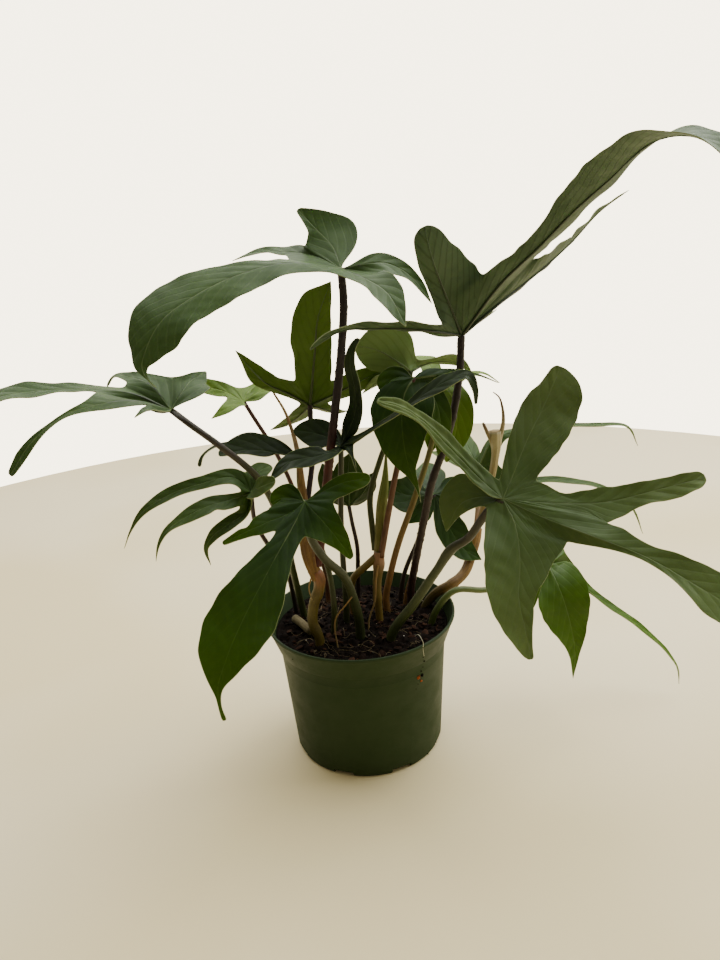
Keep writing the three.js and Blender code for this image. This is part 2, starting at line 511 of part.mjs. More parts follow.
/** The place that is seen at a column and row of the view, a depth behind the pot's axis. */
function seen([column, row, depth]) {
  const ray = VIEW.ahead.clone()
    .addScaledVector(VIEW.right, (column - VIEW_COLUMNS / 2) / VIEW_FOCAL)
    .addScaledVector(VIEW.up, (VIEW_ROWS / 2 - row) / VIEW_FOCAL);
  return VIEW.eye.clone().addScaledVector(ray, (depth - VIEW.eye.y) / ray.y);
}

/** Weights of start, start slope, end and end slope at fraction f of a span. */
function hermite(f) {
  const f2 = f * f;
  const f3 = f2 * f;
  return [2 * f3 - 3 * f2 + 1, f3 - 2 * f2 + f, 3 * f2 - 2 * f3, f3 - f2];
}

/** Smooth curve through its points, parameter even along the chords. */
class Rib extends THREE.Curve {
  constructor(points) {
    super();
    this.points = points;
    const chords = points.slice(1).map((point, i) => point.distanceTo(points[i]));
    this.chordLength = chords.reduce((sum, chord) => sum + chord, 0);
    this.knots = [0];
    chords.forEach((chord) => this.knots.push(this.knots.at(-1) + chord / this.chordLength));
    this.slopes = points.map((_, i) => this.slope(i));
  }

  /** Slope of the curve at one of its points. */
  slope(i) {
    const last = this.points.length - 1;
    const step = (a) => this.points[a + 1].clone().sub(this.points[a])
      .divideScalar(this.knots[a + 1] - this.knots[a]);
    if (i === 0) return step(0);
    if (i === last) return step(last - 1);
    const before = this.knots[i] - this.knots[i - 1];
    const after = this.knots[i + 1] - this.knots[i];
    return step(i - 1).multiplyScalar(after).addScaledVector(step(i), before)
      .divideScalar(before + after);
  }

  getPoint(u, target = new THREE.Vector3()) {
    const span = Math.max(0, Math.min(this.points.length - 2,
      this.knots.findLastIndex((knot) => knot <= u)));
    const width = this.knots[span + 1] - this.knots[span];
    const [a, b, c, d] = hermite((u - this.knots[span]) / width);
    return target.copy(this.points[span]).multiplyScalar(a)
      .addScaledVector(this.slopes[span], b * width)
      .addScaledVector(this.points[span + 1], c)
      .addScaledVector(this.slopes[span + 1], d * width);
  }

  /** Direction of travel at u. */
  heading(u) {
    const reach = 0.01;
    return this.getPoint(Math.min(1, u + reach))
      .sub(this.getPoint(Math.max(0, u - reach))).normalize();
  }

  /** Parameter of the curve point nearest to a given point. */
  nearest(point, samples = 200) {
    let best = 0;
    let bestDistance = Infinity;
    for (let i = 0; i <= samples; i += 1) {
      const distance = this.getPoint(i / samples).distanceTo(point);
      if (distance < bestDistance) {
        bestDistance = distance;
        best = i / samples;
      }
    }
    return best;
  }
}

/** Value at u in 0..1 of a smooth line through evenly spaced values, never negative. */
function along(values, u) {
  const last = values.length - 1;
  const span = Math.min(last - 1, Math.floor(u * last));
  const slope = (i) => {
    const low = Math.max(0, i - 1);
    const high = Math.min(last, i + 1);
    return (values[high] - values[low]) / (high - low);
  };
  const [a, b, c, d] = hermite(u * last - span);
  return Math.max(0, a * values[span] + b * slope(span)
    + c * values[span + 1] + d * slope(span + 1));
}

/** One lobe of a leaf: a sheet over its rib, joined to its neighbours along the webs. */
class Lobe {
  constructor(leaf, index) {
    const lobe = leaf.lobes[index];
    this.junction = seen(leaf.junction);
    this.rib = new Rib([leaf.junction, ...lobe.rib].map(seen));
    this.webs = {
      right: index > 0 ? seen(leaf.webs[index - 1]) : null,
      left: index < leaf.webs.length ? seen(leaf.webs[index]) : null,
    };
    this.widths = { left: lobe.left, right: lobe.right ?? lobe.left };
    this.baseFace = vec(leaf.face).normalize();
    this.lobeFace = vec(lobe.face ?? leaf.face).normalize();
    this.tipFace = lobe.tip ? vec(lobe.tip).normalize() : this.lobeFace;
    this.cup = THREE.MathUtils.degToRad(lobe.cup ?? DEFAULT_CUP);
    const reaches = Object.values(this.webs).filter(Boolean).map((web) => this.rib.nearest(web));
    const mean = reaches.reduce((sum, reach) => sum + reach, 0) / reaches.length;
    this.joined = THREE.MathUtils.clamp(mean, SHORTEST_SEAM, LONGEST_SEAM);
    this.rows = THREE.MathUtils.clamp(
      Math.round(this.rib.chordLength * (1 - this.joined) / ROW_LENGTH), FEWEST_ROWS, MOST_ROWS);
  }

  /** Sideways direction of one wing at u, raised by the cup angle. */
  wing(u, sign) {
    const turn = Math.min(1, u / (this.joined * FACE_TURN_REACH));
    const face = this.baseFace.clone().lerp(this.lobeFace, turn).normalize();
    const tipTurn = Math.max(0, (u - this.joined) / (1 - this.joined));
    face.lerp(this.tipFace, tipTurn).normalize();
    const heading = this.rib.heading(u);
    const side = face.cross(heading).normalize();
    const up = heading.clone().cross(side);
    return side.multiplyScalar(sign * Math.cos(this.cup)).addScaledVector(up, Math.sin(this.cup));
  }

  /** Offset from the rib to the edge of one wing at u. */
  edge(u, name) {
    const sign = name === 'left' ? 1 : -1;
    const web = this.webs[name];
    const own = this.wing(u, sign).multiplyScalar(along(this.widths[name], u));
    if (!web) {
      const ease = Math.min(1, u / this.joined);
      return own.multiplyScalar(ease * (2 - ease));
    }
    if (u <= this.joined) {
      return this.junction.clone().lerp(web, u / this.joined).sub(this.rib.getPoint(u));
    }
    const atWeb = this.wing(this.joined, sign).multiplyScalar(
      along(this.widths[name], this.joined));
    const rest = web.clone().sub(this.rib.getPoint(this.joined)).sub(atWeb);
    const away = Math.min(1, (u - this.joined) / (1 - this.joined) / WEB_REACH);
    return own.addScaledVector(rest, (1 - away) ** 2);
  }

  /** The lobe as one sheet of quads, two columns wide. */
  sheet() {
    const rowCount = SEAM_ROWS + this.rows;
    const plane = new THREE.PlaneGeometry(2, 1, 2, rowCount);
    plane.deleteAttribute('normal');
    plane.deleteAttribute('uv');
    const position = plane.getAttribute('position');
    for (let i = 0; i < position.count; i += 1) {
      const across = position.getX(i);
      const row = Math.round((position.getY(i) + 0.5) * rowCount);
      const u = row <= SEAM_ROWS ? (this.joined * row) / SEAM_ROWS
        : this.joined + ((1 - this.joined) * (row - SEAM_ROWS)) / this.rows;
      const point = this.rib.getPoint(u);
      if (across !== 0) point.add(this.edge(u, across < 0 ? 'left' : 'right'));
      position.setXYZ(i, ...point.toArray());
    }
    return plane;
  }
}

/** Index triples of a geometry, degenerate ones left out. */
function triangles(geometry) {
  const index = geometry.getIndex().array;
  const triples = [];
  for (let i = 0; i < index.length; i += 3) {
    const triple = [index[i], index[i + 1], index[i + 2]];
    if (new Set(triple).size === 3) triples.push(triple);
  }
  return triples;
}

/** A closed body from an open sheet: two faces half the thickness off it, its rim grown out. */
function thicken(sheet, thickness, growth) {
  const position = sheet.getAttribute('position');
  const count = position.count;
  const faces = triangles(sheet);
  const points = Array.from({ length: count }, (_, i) => vec([
    position.getX(i), position.getY(i), position.getZ(i)]));
  const normals = points.map(() => new THREE.Vector3());
  const edges = new Map();
  for (const [a, b, c] of faces) {
    const normal = points[b].clone().sub(points[a]).cross(points[c].clone().sub(points[a]));
    [a, b, c].forEach((i) => normals[i].add(normal));
    [[a, b], [b, c], [c, a]].forEach(([from, to]) => edges.set(`${from} ${to}`, [from, to]));
  }
  const rim = [...edges.values()].filter(([from, to]) => !edges.has(`${to} ${from}`));
  const outward = points.map(() => new THREE.Vector3());
  for (const [from, to] of rim) {
    const run = points[to].clone().sub(points[from]).normalize();
    [from, to].forEach((i) => outward[i].add(run.clone().cross(normals[i].clone().normalize())));
  }
  points.forEach((point, i) => point.addScaledVector(outward[i].normalize(), growth));
  const corners = [1, -1].flatMap((sign) => points.flatMap((point, i) => point.clone()
    .addScaledVector(normals[i].clone().normalize(), (sign * thickness) / 2).toArray()));
  const index = [];
  faces.forEach(([a, b, c]) => index.push(a, b, c, a + count, c + count, b + count));
  rim.forEach(([from, to]) => index.push(from, from + count, to, to, from + count, to + count));
  const body = new THREE.BufferGeometry();
  body.setAttribute('position', new THREE.Float32BufferAttribute(corners, 3));
  body.setIndex(index);
  return body;
}

/** The middle sheet of a whole leaf, its lobes merged along their seams. */
function leafSheet(leaf) {
  const sheets = leaf.lobes.map((_, index) => new Lobe(leaf, index).sheet());
  return mergeVertices(mergeGeometries(sheets), SEAM_TOLERANCE);
}

/** A solid for boolean work from a closed geometry. */
function solid(geometry) {
  const bare = geometry.clone();
  bare.deleteAttribute('normal');
  bare.deleteAttribute('uv');
  const merged = mergeVertices(bare, WELD_TOLERANCE);
  return new wasm.Manifold(new wasm.Mesh({
    numProp: 3,
    vertProperties: Float32Array.from(merged.getAttribute('position').array),
    triVerts: Uint32Array.from(triangles(merged).flat()),
  }));
}

/** A leaf blade as a solid, grown by an extra clearance on both faces and all round. */
function blade(leaf, extra = 0) {
  return solid(thicken(leafSheet(leaf), BLADE_THICKNESS + 2 * extra, extra));
}

/** A tapered round stalk along its path, grown by an extra clearance. */
function stalk({ foot, top, path, buried = [], sunk = [] }, extra = 0) {
  const line = new Rib([...buried.map(vec), ...path.map(seen), ...sunk.map(vec)]);
  const steps = Math.max(FEWEST_STALK_STEPS, Math.round(line.chordLength / STALK_STEP));
  const round = new THREE.Shape(Array.from({ length: STALK_SIDES }, (_, i) => {
    const angle = (i / STALK_SIDES) * Math.PI * 2;
    return new THREE.Vector2(Math.cos(angle), Math.sin(angle));
  }));
  const rod = new THREE.ExtrudeGeometry(round, { depth: 1, steps, bevelEnabled: false });
  const position = rod.getAttribute('position');
  const frames = [];
  let sideways = new THREE.Vector3(0, 1, 0);
  for (let i = 0; i <= steps; i += 1) {
    const heading = line.heading(i / steps);
    const right = sideways.clone().cross(heading).normalize();
    sideways = heading.clone().cross(right).normalize();
    const lengthening = (i === steps ? extra : 0) - (i === 0 ? extra : 0);
    const point = line.getPoint(i / steps).addScaledVector(heading, lengthening);
    frames.push({ point, right, forward: sideways.clone() });
  }
  for (let i = 0; i < position.count; i += 1) {
    const u = position.getZ(i);
    const { point, right, forward } = frames[Math.round(u * steps)];
    const radius = foot + (top - foot) * u + extra;
    const place = point.clone().addScaledVector(right, position.getX(i) * radius)
      .addScaledVector(forward, position.getY(i) * radius);
    position.setXYZ(i, ...place.toArray());
  }
  return solid(rod);
}

/** Round body from a closed half profile of [radius, height] pairs. */
function lathe(profile, segments) {
  return new THREE.LatheGeometry(profile.map(([x, y]) => new THREE.Vector2(x, y)), segments)
    .rotateX(Math.PI / 2);
}

/** Outer radius of the pot's wall at a height under the collar. */
function wallRadius(height) {
  return POT_FOOT_RADIUS + ((POT_WALL_TOP_RADIUS - POT_FOOT_RADIUS) * height) / COLLAR_FOOT;
}

/**
 * The pot: a tapering wall under a flared collar, standing on a centre pad and a foot ring
 * with a drainage channel between them; holes drain into it and notches let the water out.
 */
function pot() {
  const profile = [
    [0, POT_FLOOR],
    [0, 0],
    [PAD_RADIUS, 0],
    [PAD_RADIUS + CHANNEL_SLOPE, CHANNEL_HEIGHT],
    [wallRadius(CHANNEL_HEIGHT) - POT_WALL, CHANNEL_HEIGHT],
    [POT_FOOT_RADIUS - POT_WALL - POT_FOOT_ROUNDING / 2, 0],
    [POT_FOOT_RADIUS - POT_FOOT_ROUNDING / 2, 0],
    [wallRadius(POT_FOOT_ROUNDING), POT_FOOT_ROUNDING],
    [POT_WALL_TOP_RADIUS, COLLAR_FOOT],
    [POT_COLLAR_RADIUS, COLLAR_FOOT],
    [POT_LIP_RADIUS - POT_LIP_STEP, POT_HEIGHT - POT_LIP_DEPTH],
    [POT_LIP_RADIUS, POT_HEIGHT - POT_LIP_DEPTH],
    [POT_LIP_RADIUS, POT_HEIGHT - POT_LIP_STEP],
    [POT_LIP_RADIUS - POT_LIP_STEP, POT_HEIGHT],
    [POT_LIP_RADIUS - POT_LIP_THICKNESS, POT_HEIGHT],
    [POT_COLLAR_RADIUS - POT_WALL, COLLAR_FOOT + POT_WALL],
    [POT_WALL_TOP_RADIUS - POT_WALL, COLLAR_FOOT - POT_WALL],
    [wallRadius(CHANNEL_TOP) - POT_WALL, CHANNEL_TOP],
    [PAD_RADIUS + CHANNEL_SLOPE - POT_FLOOR, CHANNEL_TOP],
    [PAD_RADIUS - POT_FLOOR, POT_FLOOR],
    [0, POT_FLOOR],
  ];
  let body = solid(lathe(profile, POT_SEGMENTS));
  const drillReach = 4 * CHANNEL_HEIGHT;
  for (let i = 0; i < FOOT_NOTCHES; i += 1) {
    const angle = ((i + 0.5) / FOOT_NOTCHES) * Math.PI * 2;
    const notch = new THREE.BoxGeometry(
      FOOT_NOTCH_REACH, FOOT_NOTCH_WIDTH, 2 * FOOT_NOTCH_HEIGHT)
      .translate(POT_FOOT_RADIUS, 0, 0).rotateZ(angle);
    const hole = new THREE.CylinderGeometry(
      DRAIN_HOLE_RADIUS, DRAIN_HOLE_RADIUS, drillReach, DRAIN_HOLE_SEGMENTS)
      .rotateX(Math.PI / 2).translate(DRAIN_RING_RADIUS, 0, CHANNEL_HEIGHT).rotateZ(angle);
    body = body.subtract(solid(notch)).subtract(solid(hole));
  }
  return body;
}

/** Height of the crust's lumps at a place. */
function lump(x, y) {
  const [a, b] = [(x / LUMP_LENGTH) * Math.PI * 2, (y / LUMP_LENGTH) * Math.PI * 2];
  return SOIL_LUMP * (Math.sin(a + 1) * Math.cos(b) + LUMP_SHARE * Math.sin(2 * b + a));
}

/** The soil: it fills the pot to just under the rim, with a lumpy crust on top. */
function soil() {
  const inner = (height) => wallRadius(height) - POT_WALL - SOIL_GAP;
  const flare = (POT_LIP_RADIUS - POT_LIP_THICKNESS - POT_COLLAR_RADIUS + POT_WALL)
    / (POT_COLLAR_HEIGHT - POT_WALL);
  const brim = POT_COLLAR_RADIUS - POT_WALL - 2 * SOIL_GAP
    + flare * (SOIL_LEVEL - COLLAR_FOOT - POT_WALL);
  const crust = SOIL_RINGS.map((radius) => [
    radius, SOIL_LEVEL + SOIL_HUMP * Math.cos(((radius / brim) * Math.PI) / 2)]);
  const profile = [
    [0, POT_FLOOR + SOIL_GAP],
    [PAD_RADIUS - 2 * POT_FLOOR, POT_FLOOR + SOIL_GAP],
    [PAD_RADIUS + CHANNEL_SLOPE - 2 * POT_FLOOR, CHANNEL_TOP + SOIL_GAP],
    [inner(CHANNEL_TOP), CHANNEL_TOP + SOIL_GAP],
    [inner(COLLAR_FOOT - POT_WALL), COLLAR_FOOT - POT_WALL],
    [brim, SOIL_LEVEL],
    ...crust,
    [0, SOIL_LEVEL + SOIL_HUMP],
  ];
  const body = lathe(profile, SOIL_SEGMENTS);
  const position = body.getAttribute('position');
  for (let i = 0; i < position.count; i += 1) {
    const [x, y, z] = [position.getX(i), position.getY(i), position.getZ(i)];
    const radius = Math.hypot(x, y);
    const onCrust = z >= SOIL_LEVEL && radius > CRUST_MARGIN && radius < brim - CRUST_MARGIN;
    if (onCrust) position.setZ(i, z + lump(x, y));
  }
  return solid(body);
}

/** A leaf's stalk, ending just under the blade where the ribs meet. */
function leafStalk(name, leaf) {
  const face = vec(leaf.face).normalize();
  const level = face.dot(seen(leaf.junction)) - STALK_DROP;
  return stalk(STALKS[name]).trimByPlane(face.negate().toArray(), -level);
}

/** A solid with other solids taken out of it, its largest piece kept. */
function cleared(body, others) {
  const cut = others.reduce((rest, other) => rest.subtract(other), body);
  const pieces = cut.decompose().sort((a, b) => b.volume() - a.volume());
  return pieces[0];
}

/** A stalk grown by the clearance that its neighbours keep from it. */
function grown(name) {
  return stalk(STALKS[name], GAP);
}

const part = new THREE.Group();
part.name = 'potted_philodendron';

/** Adds one named piece to the part. */
function add(name, body, finish) {
  const { vertProperties, triVerts } = body.getMesh();
  const geometry = new THREE.BufferGeometry();
  geometry.setAttribute('position', new THREE.BufferAttribute(vertProperties, 3));
  geometry.setIndex(new THREE.BufferAttribute(triVerts, 1));
  geometry.computeVertexNormals();
  const material = new THREE.MeshStandardMaterial({ metalness: 0, ...FINISHES[finish] });
  const mesh = new THREE.Mesh(geometry, material);
  mesh.name = name;
  part.add(mesh);
}

/** Adds a piece of STALKS under its own name, kept clear of other solids. */
function addStalk(name, others, body = stalk(STALKS[name])) {
  add(name, cleared(body, others), STALKS[name].finish);
}

add('pot', pot(), 'potPlastic');

// Stems rise from the soil and end in a thick node where the stalks spring.
const grownStemMiddle = grown('stem_middle').add(grown('branch_middle'));
const grownStems = [grown('stem_left'), grownStemMiddle, grown('stem_right')];
addStalk('stem_left', []);
addStalk('stem_middle', [], stalk(STALKS.stem_middle).add(stalk(STALKS.branch_middle)));
addStalk('stem_right', []);

for (const [name, leaf] of Object.entries(LEAVES)) {
  add(`leaf_${name}`, blade(leaf), leaf.finish);
  add(`stalk_${name}`, cleared(leafStalk(name, leaf), [blade(leaf, BLADE_GAP), ...grownStems]),
    STALKS[name].finish);
}

// Dry sheaths stand between the stalks of a node; the horned one is an old cut-back shoot.
addStalk('shoot_left', [grown('stem_left'), grown('crown_left'), grown('upright')]);
addStalk('sheath_middle', [grownStemMiddle, grown('centre_hanging'), grown('centre_round')]);
addStalk('horned_stub', [grown('stem_right'), grown('back_right')],
  ['horned_stub', 'horn_up', 'horn_side'].map((name) => stalk(STALKS[name]))
    .reduce((sum, piece) => sum.add(piece)));
addStalk('small_shoot', []);
addStalk('cut_stub', []);

// Air roots hang from the nodes.
addStalk('root_left', [grown('stem_left')]);
addStalk('root_middle', [grown('stem_middle')]);
addStalk('root_front', [grown('front_left')]);

// The soil stands round everything rooted in it with a plain hole for each.
add('soil', cleared(soil(), Object.keys(STALKS).map(grown)), 'soilMix');

export default part;
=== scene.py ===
"""Looks of a potted philodendron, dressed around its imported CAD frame.

Metres, +Z up, the pot's foot on z = 0 and its axis on the Z axis, seen from the front along
+Y. Each leaf, stalk and stem stands where its CAD node stands: it is built from the same few
places, given as they are seen from one viewpoint, but finer, with ribs, veins, warts and
fibres, and the soil gets its bark, perlite and rootlets.
"""

import logging
import math
import random
from collections.abc import Callable, Sequence
from dataclasses import dataclass
from enum import Enum

import bmesh
import bpy
from mathutils import Euler, Matrix, Vector, noise


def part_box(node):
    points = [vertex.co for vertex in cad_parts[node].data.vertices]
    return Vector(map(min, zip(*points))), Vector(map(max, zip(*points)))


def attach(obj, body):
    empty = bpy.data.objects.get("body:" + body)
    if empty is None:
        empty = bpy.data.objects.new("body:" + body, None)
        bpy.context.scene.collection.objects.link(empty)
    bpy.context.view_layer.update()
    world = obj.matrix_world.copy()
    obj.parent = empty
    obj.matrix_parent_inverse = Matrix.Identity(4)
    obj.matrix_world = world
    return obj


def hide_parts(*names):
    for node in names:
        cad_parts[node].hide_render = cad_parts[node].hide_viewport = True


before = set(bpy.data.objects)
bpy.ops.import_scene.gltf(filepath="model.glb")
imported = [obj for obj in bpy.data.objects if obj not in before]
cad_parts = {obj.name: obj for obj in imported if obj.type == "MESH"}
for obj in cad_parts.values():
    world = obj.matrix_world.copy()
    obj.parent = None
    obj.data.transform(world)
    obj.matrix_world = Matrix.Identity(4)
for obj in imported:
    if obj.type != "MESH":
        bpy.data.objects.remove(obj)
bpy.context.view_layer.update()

log = logging.getLogger("potted_philodendron")

MM = 0.001
MERGE = 0.01 * MM
BODY = "root"

# Layers that every piece carries for its pattern: across and along it in millimetres, and
# how far a place is from the edge in millimetres and along the piece as a share.
PATTERN = "pattern"
REACH = "reach"

Place = tuple[float, float, float]
Mesh = bmesh.types.BMesh
Vert = bmesh.types.BMVert
Piece = bpy.types.Object
Material = bpy.types.Material


class Slot(Enum):
    """The record's material slots."""

    POT = "pot_plastic"
    SOIL = "soil_mix"
    DARK_LEAF = "dark_leaf"
    FRESH_LEAF = "fresh_leaf"
    GREY_LEAF = "grey_leaf"
    PURPLE_STALK = "purple_stalk"
    RED_STALK = "red_stalk"
    OLIVE_STALK = "olive_stalk"
    GOLDEN_STEM = "golden_stem"
    DRY_SHEATH = "dry_sheath"
    PALE_SHEATH = "pale_sheath"
    STRAW_STUB = "straw_stub"
    TAN_ROOT = "tan_root"


# ---- viewpoint


@dataclass
class View:
    """The viewpoint that the plant's places are given from, and the camera stands at.

    Angles are in degrees, the distance from the pot's foot is in metres, and the focal
    length is in columns of the view.
    """

    columns: int = 720
    rows: int = 960
    focal: float = 780.0
    distance: float = 765 * MM
    elevation: float = 36.3
    pan: float = 0.73
    tilt: float = 18.6
    roll: float = -4.19
    sensor: float = 36.0

    def __post_init__(self) -> None:
        """Works out the eye and its directions ahead, right and up."""
        elevation, pan = math.radians(self.elevation), math.radians(self.pan)
        tilt, roll = math.radians(self.tilt), math.radians(self.roll)
        self.eye = Vector((0, -math.cos(elevation), math.sin(elevation))) * self.distance
        self.ahead = Vector((
            math.sin(pan) * math.cos(tilt), math.cos(pan) * math.cos(tilt), -math.sin(tilt)))
        level = self.ahead.cross(Vector((0, 0, 1))).normalized()
        upright = level.cross(self.ahead)
        self.right = level * math.cos(roll) + upright * math.sin(roll)
        self.up = upright * math.cos(roll) - level * math.sin(roll)

    def seen(self, place: Place) -> Vector:
        """Finds the place seen at a column and row, a depth behind the pot's axis.

        Args:
            place: column, row and depth, the depth in millimetres.

        Returns:
            The place in metres.
        """
        column, row, depth = place
        ray = self.ahead.copy()
        ray += self.right * ((column - self.columns / 2) / self.focal)
        ray += self.up * ((self.rows / 2 - row) / self.focal)
        return self.eye + ray * ((depth * MM - self.eye.y) / ray.y)

    def camera(self) -> Piece:
        """Sets the scene's camera at the viewpoint.

        Returns:
            The camera object.
        """
        lens = bpy.data.cameras.new("camera")
        lens.sensor_width = self.sensor
        lens.lens = self.sensor * self.focal / self.rows
        camera = bpy.data.objects.new("camera", lens)
        turn = Matrix((self.right, self.up, -self.ahead)).transposed()
        camera.matrix_world = Matrix.Translation(self.eye) @ turn.to_4x4()
        bpy.context.scene.collection.objects.link(camera)
        bpy.context.scene.camera = camera
        return camera


VIEW = View()


# ---- curves


def hermite(f: float) -> tuple[float, float, float, float]:
    """Weighs a span's start, start slope, end and end slope.

    Args:
        f: share of the span, 0 to 1.

    Returns:
        The four weights, in that order.
    """
    f2, f3 = f * f, f * f * f
    return 2 * f3 - 3 * f2 + 1, f3 - 2 * f2 + f, 3 * f2 - 2 * f3, f3 - f2


def smooth(low: float, high: float, value: float) -> float:
    """Rises smoothly from 0 to 1.

    Args:
        low: value where the rise starts.
        high: value where it ends.
        value: where it is read.

    Returns:
        The share, 0 to 1.
    """
    share = max(0.0, min(1.0, (value - low) / (high - low)))
    return share * share * (3 - 2 * share)


def along(values: Sequence[float], u: float) -> float:
    """Reads a smooth line through evenly spaced values.

    Args:
        values: the values, two or more.
        u: where it is read, 0 to 1.

    Returns:
        The value there, never negative.
    """
    last = len(values) - 1
    span = min(last - 1, int(u * last))

    def slope(i: int) -> float:
        """Slope at one of the values."""
        low, high = max(0, i - 1), min(last, i + 1)
        return (values[high] - values[low]) / (high - low)

    a, b, c, d = hermite(u * last - span)
    value = a * values[span] + b * slope(span)
    return max(0.0, value + c * values[span + 1] + d * slope(span + 1))


class Rib:
    """A smooth curve through its points, its parameter even along the chords."""

    SLOPE_REACH = 0.01
    NEAREST_SAMPLES = 200

    def __init__(self, points: Sequence[Vector]) -> None:
        """Measures the chords and the slope at each point.

        Args:
            points: two or more places in metres.
        """
        self.points = list(points)
        chords = [(b - a).length for a, b in zip(self.points, self.points[1:])]
        self.length = sum(chords)
        self.knots = [0.0]
        for chord in chords:
            self.knots.append(self.knots[-1] + chord / self.length)
        self.slopes = [self._slope(i) for i in range(len(self.points))]

    def _slope(self, i: int) -> Vector:
        """Slope of the curve at one of its points.

        Args:
            i: which point.

        Returns:
            The slope there.
        """
        last = len(self.points) - 1

        def step(a: int) -> Vector:
            """Slope of the chord that starts at a point."""
            return (self.points[a + 1] - self.points[a]) / (self.knots[a + 1] - self.knots[a])

        if i == 0:
            return step(0)
        if i == last:
            return step(last - 1)
        before = self.knots[i] - self.knots[i - 1]
        after = self.knots[i + 1] - self.knots[i]
        return (step(i - 1) * after + step(i) * before) / (before + after)

    def at(self, u: float) -> Vector:
        """Reads the curve.

        Args:
            u: share along, 0 to 1.

        Returns:
            The place there.
        """
        last_span = len(self.points) - 2
        span = max(i for i in range(last_span + 1) if i == 0 or self.knots[i] <= u)
        width = self.knots[span + 1] - self.knots[span]
        a, b, c, d = hermite((u - self.knots[span]) / width)
        place = self.points[span] * a + self.slopes[span] * (b * width)
        return place + self.points[span + 1] * c + self.slopes[span + 1] * (d * width)

    def heading(self, u: float) -> Vector:
        """Direction of travel at u."""
        after = self.at(min(1.0, u + self.SLOPE_REACH))
        return (after - self.at(max(0.0, u - self.SLOPE_REACH))).normalized()

    def nearest(self, place: Vector) -> float:
        """Parameter of the curve's point nearest to a place."""
        steps = range(self.NEAREST_SAMPLES + 1)
        return min((i / self.NEAREST_SAMPLES for i in steps),
                   key=lambda u: (self.at(u) - place).length)


# ---- meshes


def new_mesh() -> Mesh:
    """Starts an empty mesh with the two pattern layers.

    Returns:
        The mesh.
    """
    mesh = bmesh.new()
    mesh.loops.layers.uv.new(PATTERN)
    mesh.loops.layers.uv.new(REACH)
    return mesh


def new_object(name: str, mesh: Mesh,
               materials: Sequence[Material]) -> Piece:
    """Makes an object from a mesh, smooth shaded, at the origin.

    Args:
        name: the piece's name.
        mesh: the mesh, which is freed.
        materials: its material slots in order.

    Returns:
        The object, linked to the scene.
    """
    data = bpy.data.meshes.new(name)
    mesh.to_mesh(data)
    mesh.free()
    for material in materials:
        data.materials.append(material)
    data.shade_smooth()
    made = bpy.data.objects.new(name, data)
    bpy.context.scene.collection.objects.link(made)
    return made


def bake_modifiers(piece: Piece) -> None:
    """Turns a piece's modifiers into plain mesh.

    Args:
        piece: the piece that has them.
    """
    graph = bpy.context.evaluated_depsgraph_get()
    baked = bpy.data.meshes.new_from_object(
        piece.evaluated_get(graph), preserve_all_data_layers=True, depsgraph=graph)
    piece.modifiers.clear()
    piece.data = baked


def dress(piece: Piece, replaced: str | None = None) -> None:
    """Lets a piece ride on the body and hides the CAD node that it stands for.

    Args:
        piece: the finished piece.
        replaced: the CAD node that it stands for, if any.
    """
    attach(piece, BODY)
    if replaced:
        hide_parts(replaced)
    log.info("%s: %d faces", piece.name, len(piece.data.polygons))


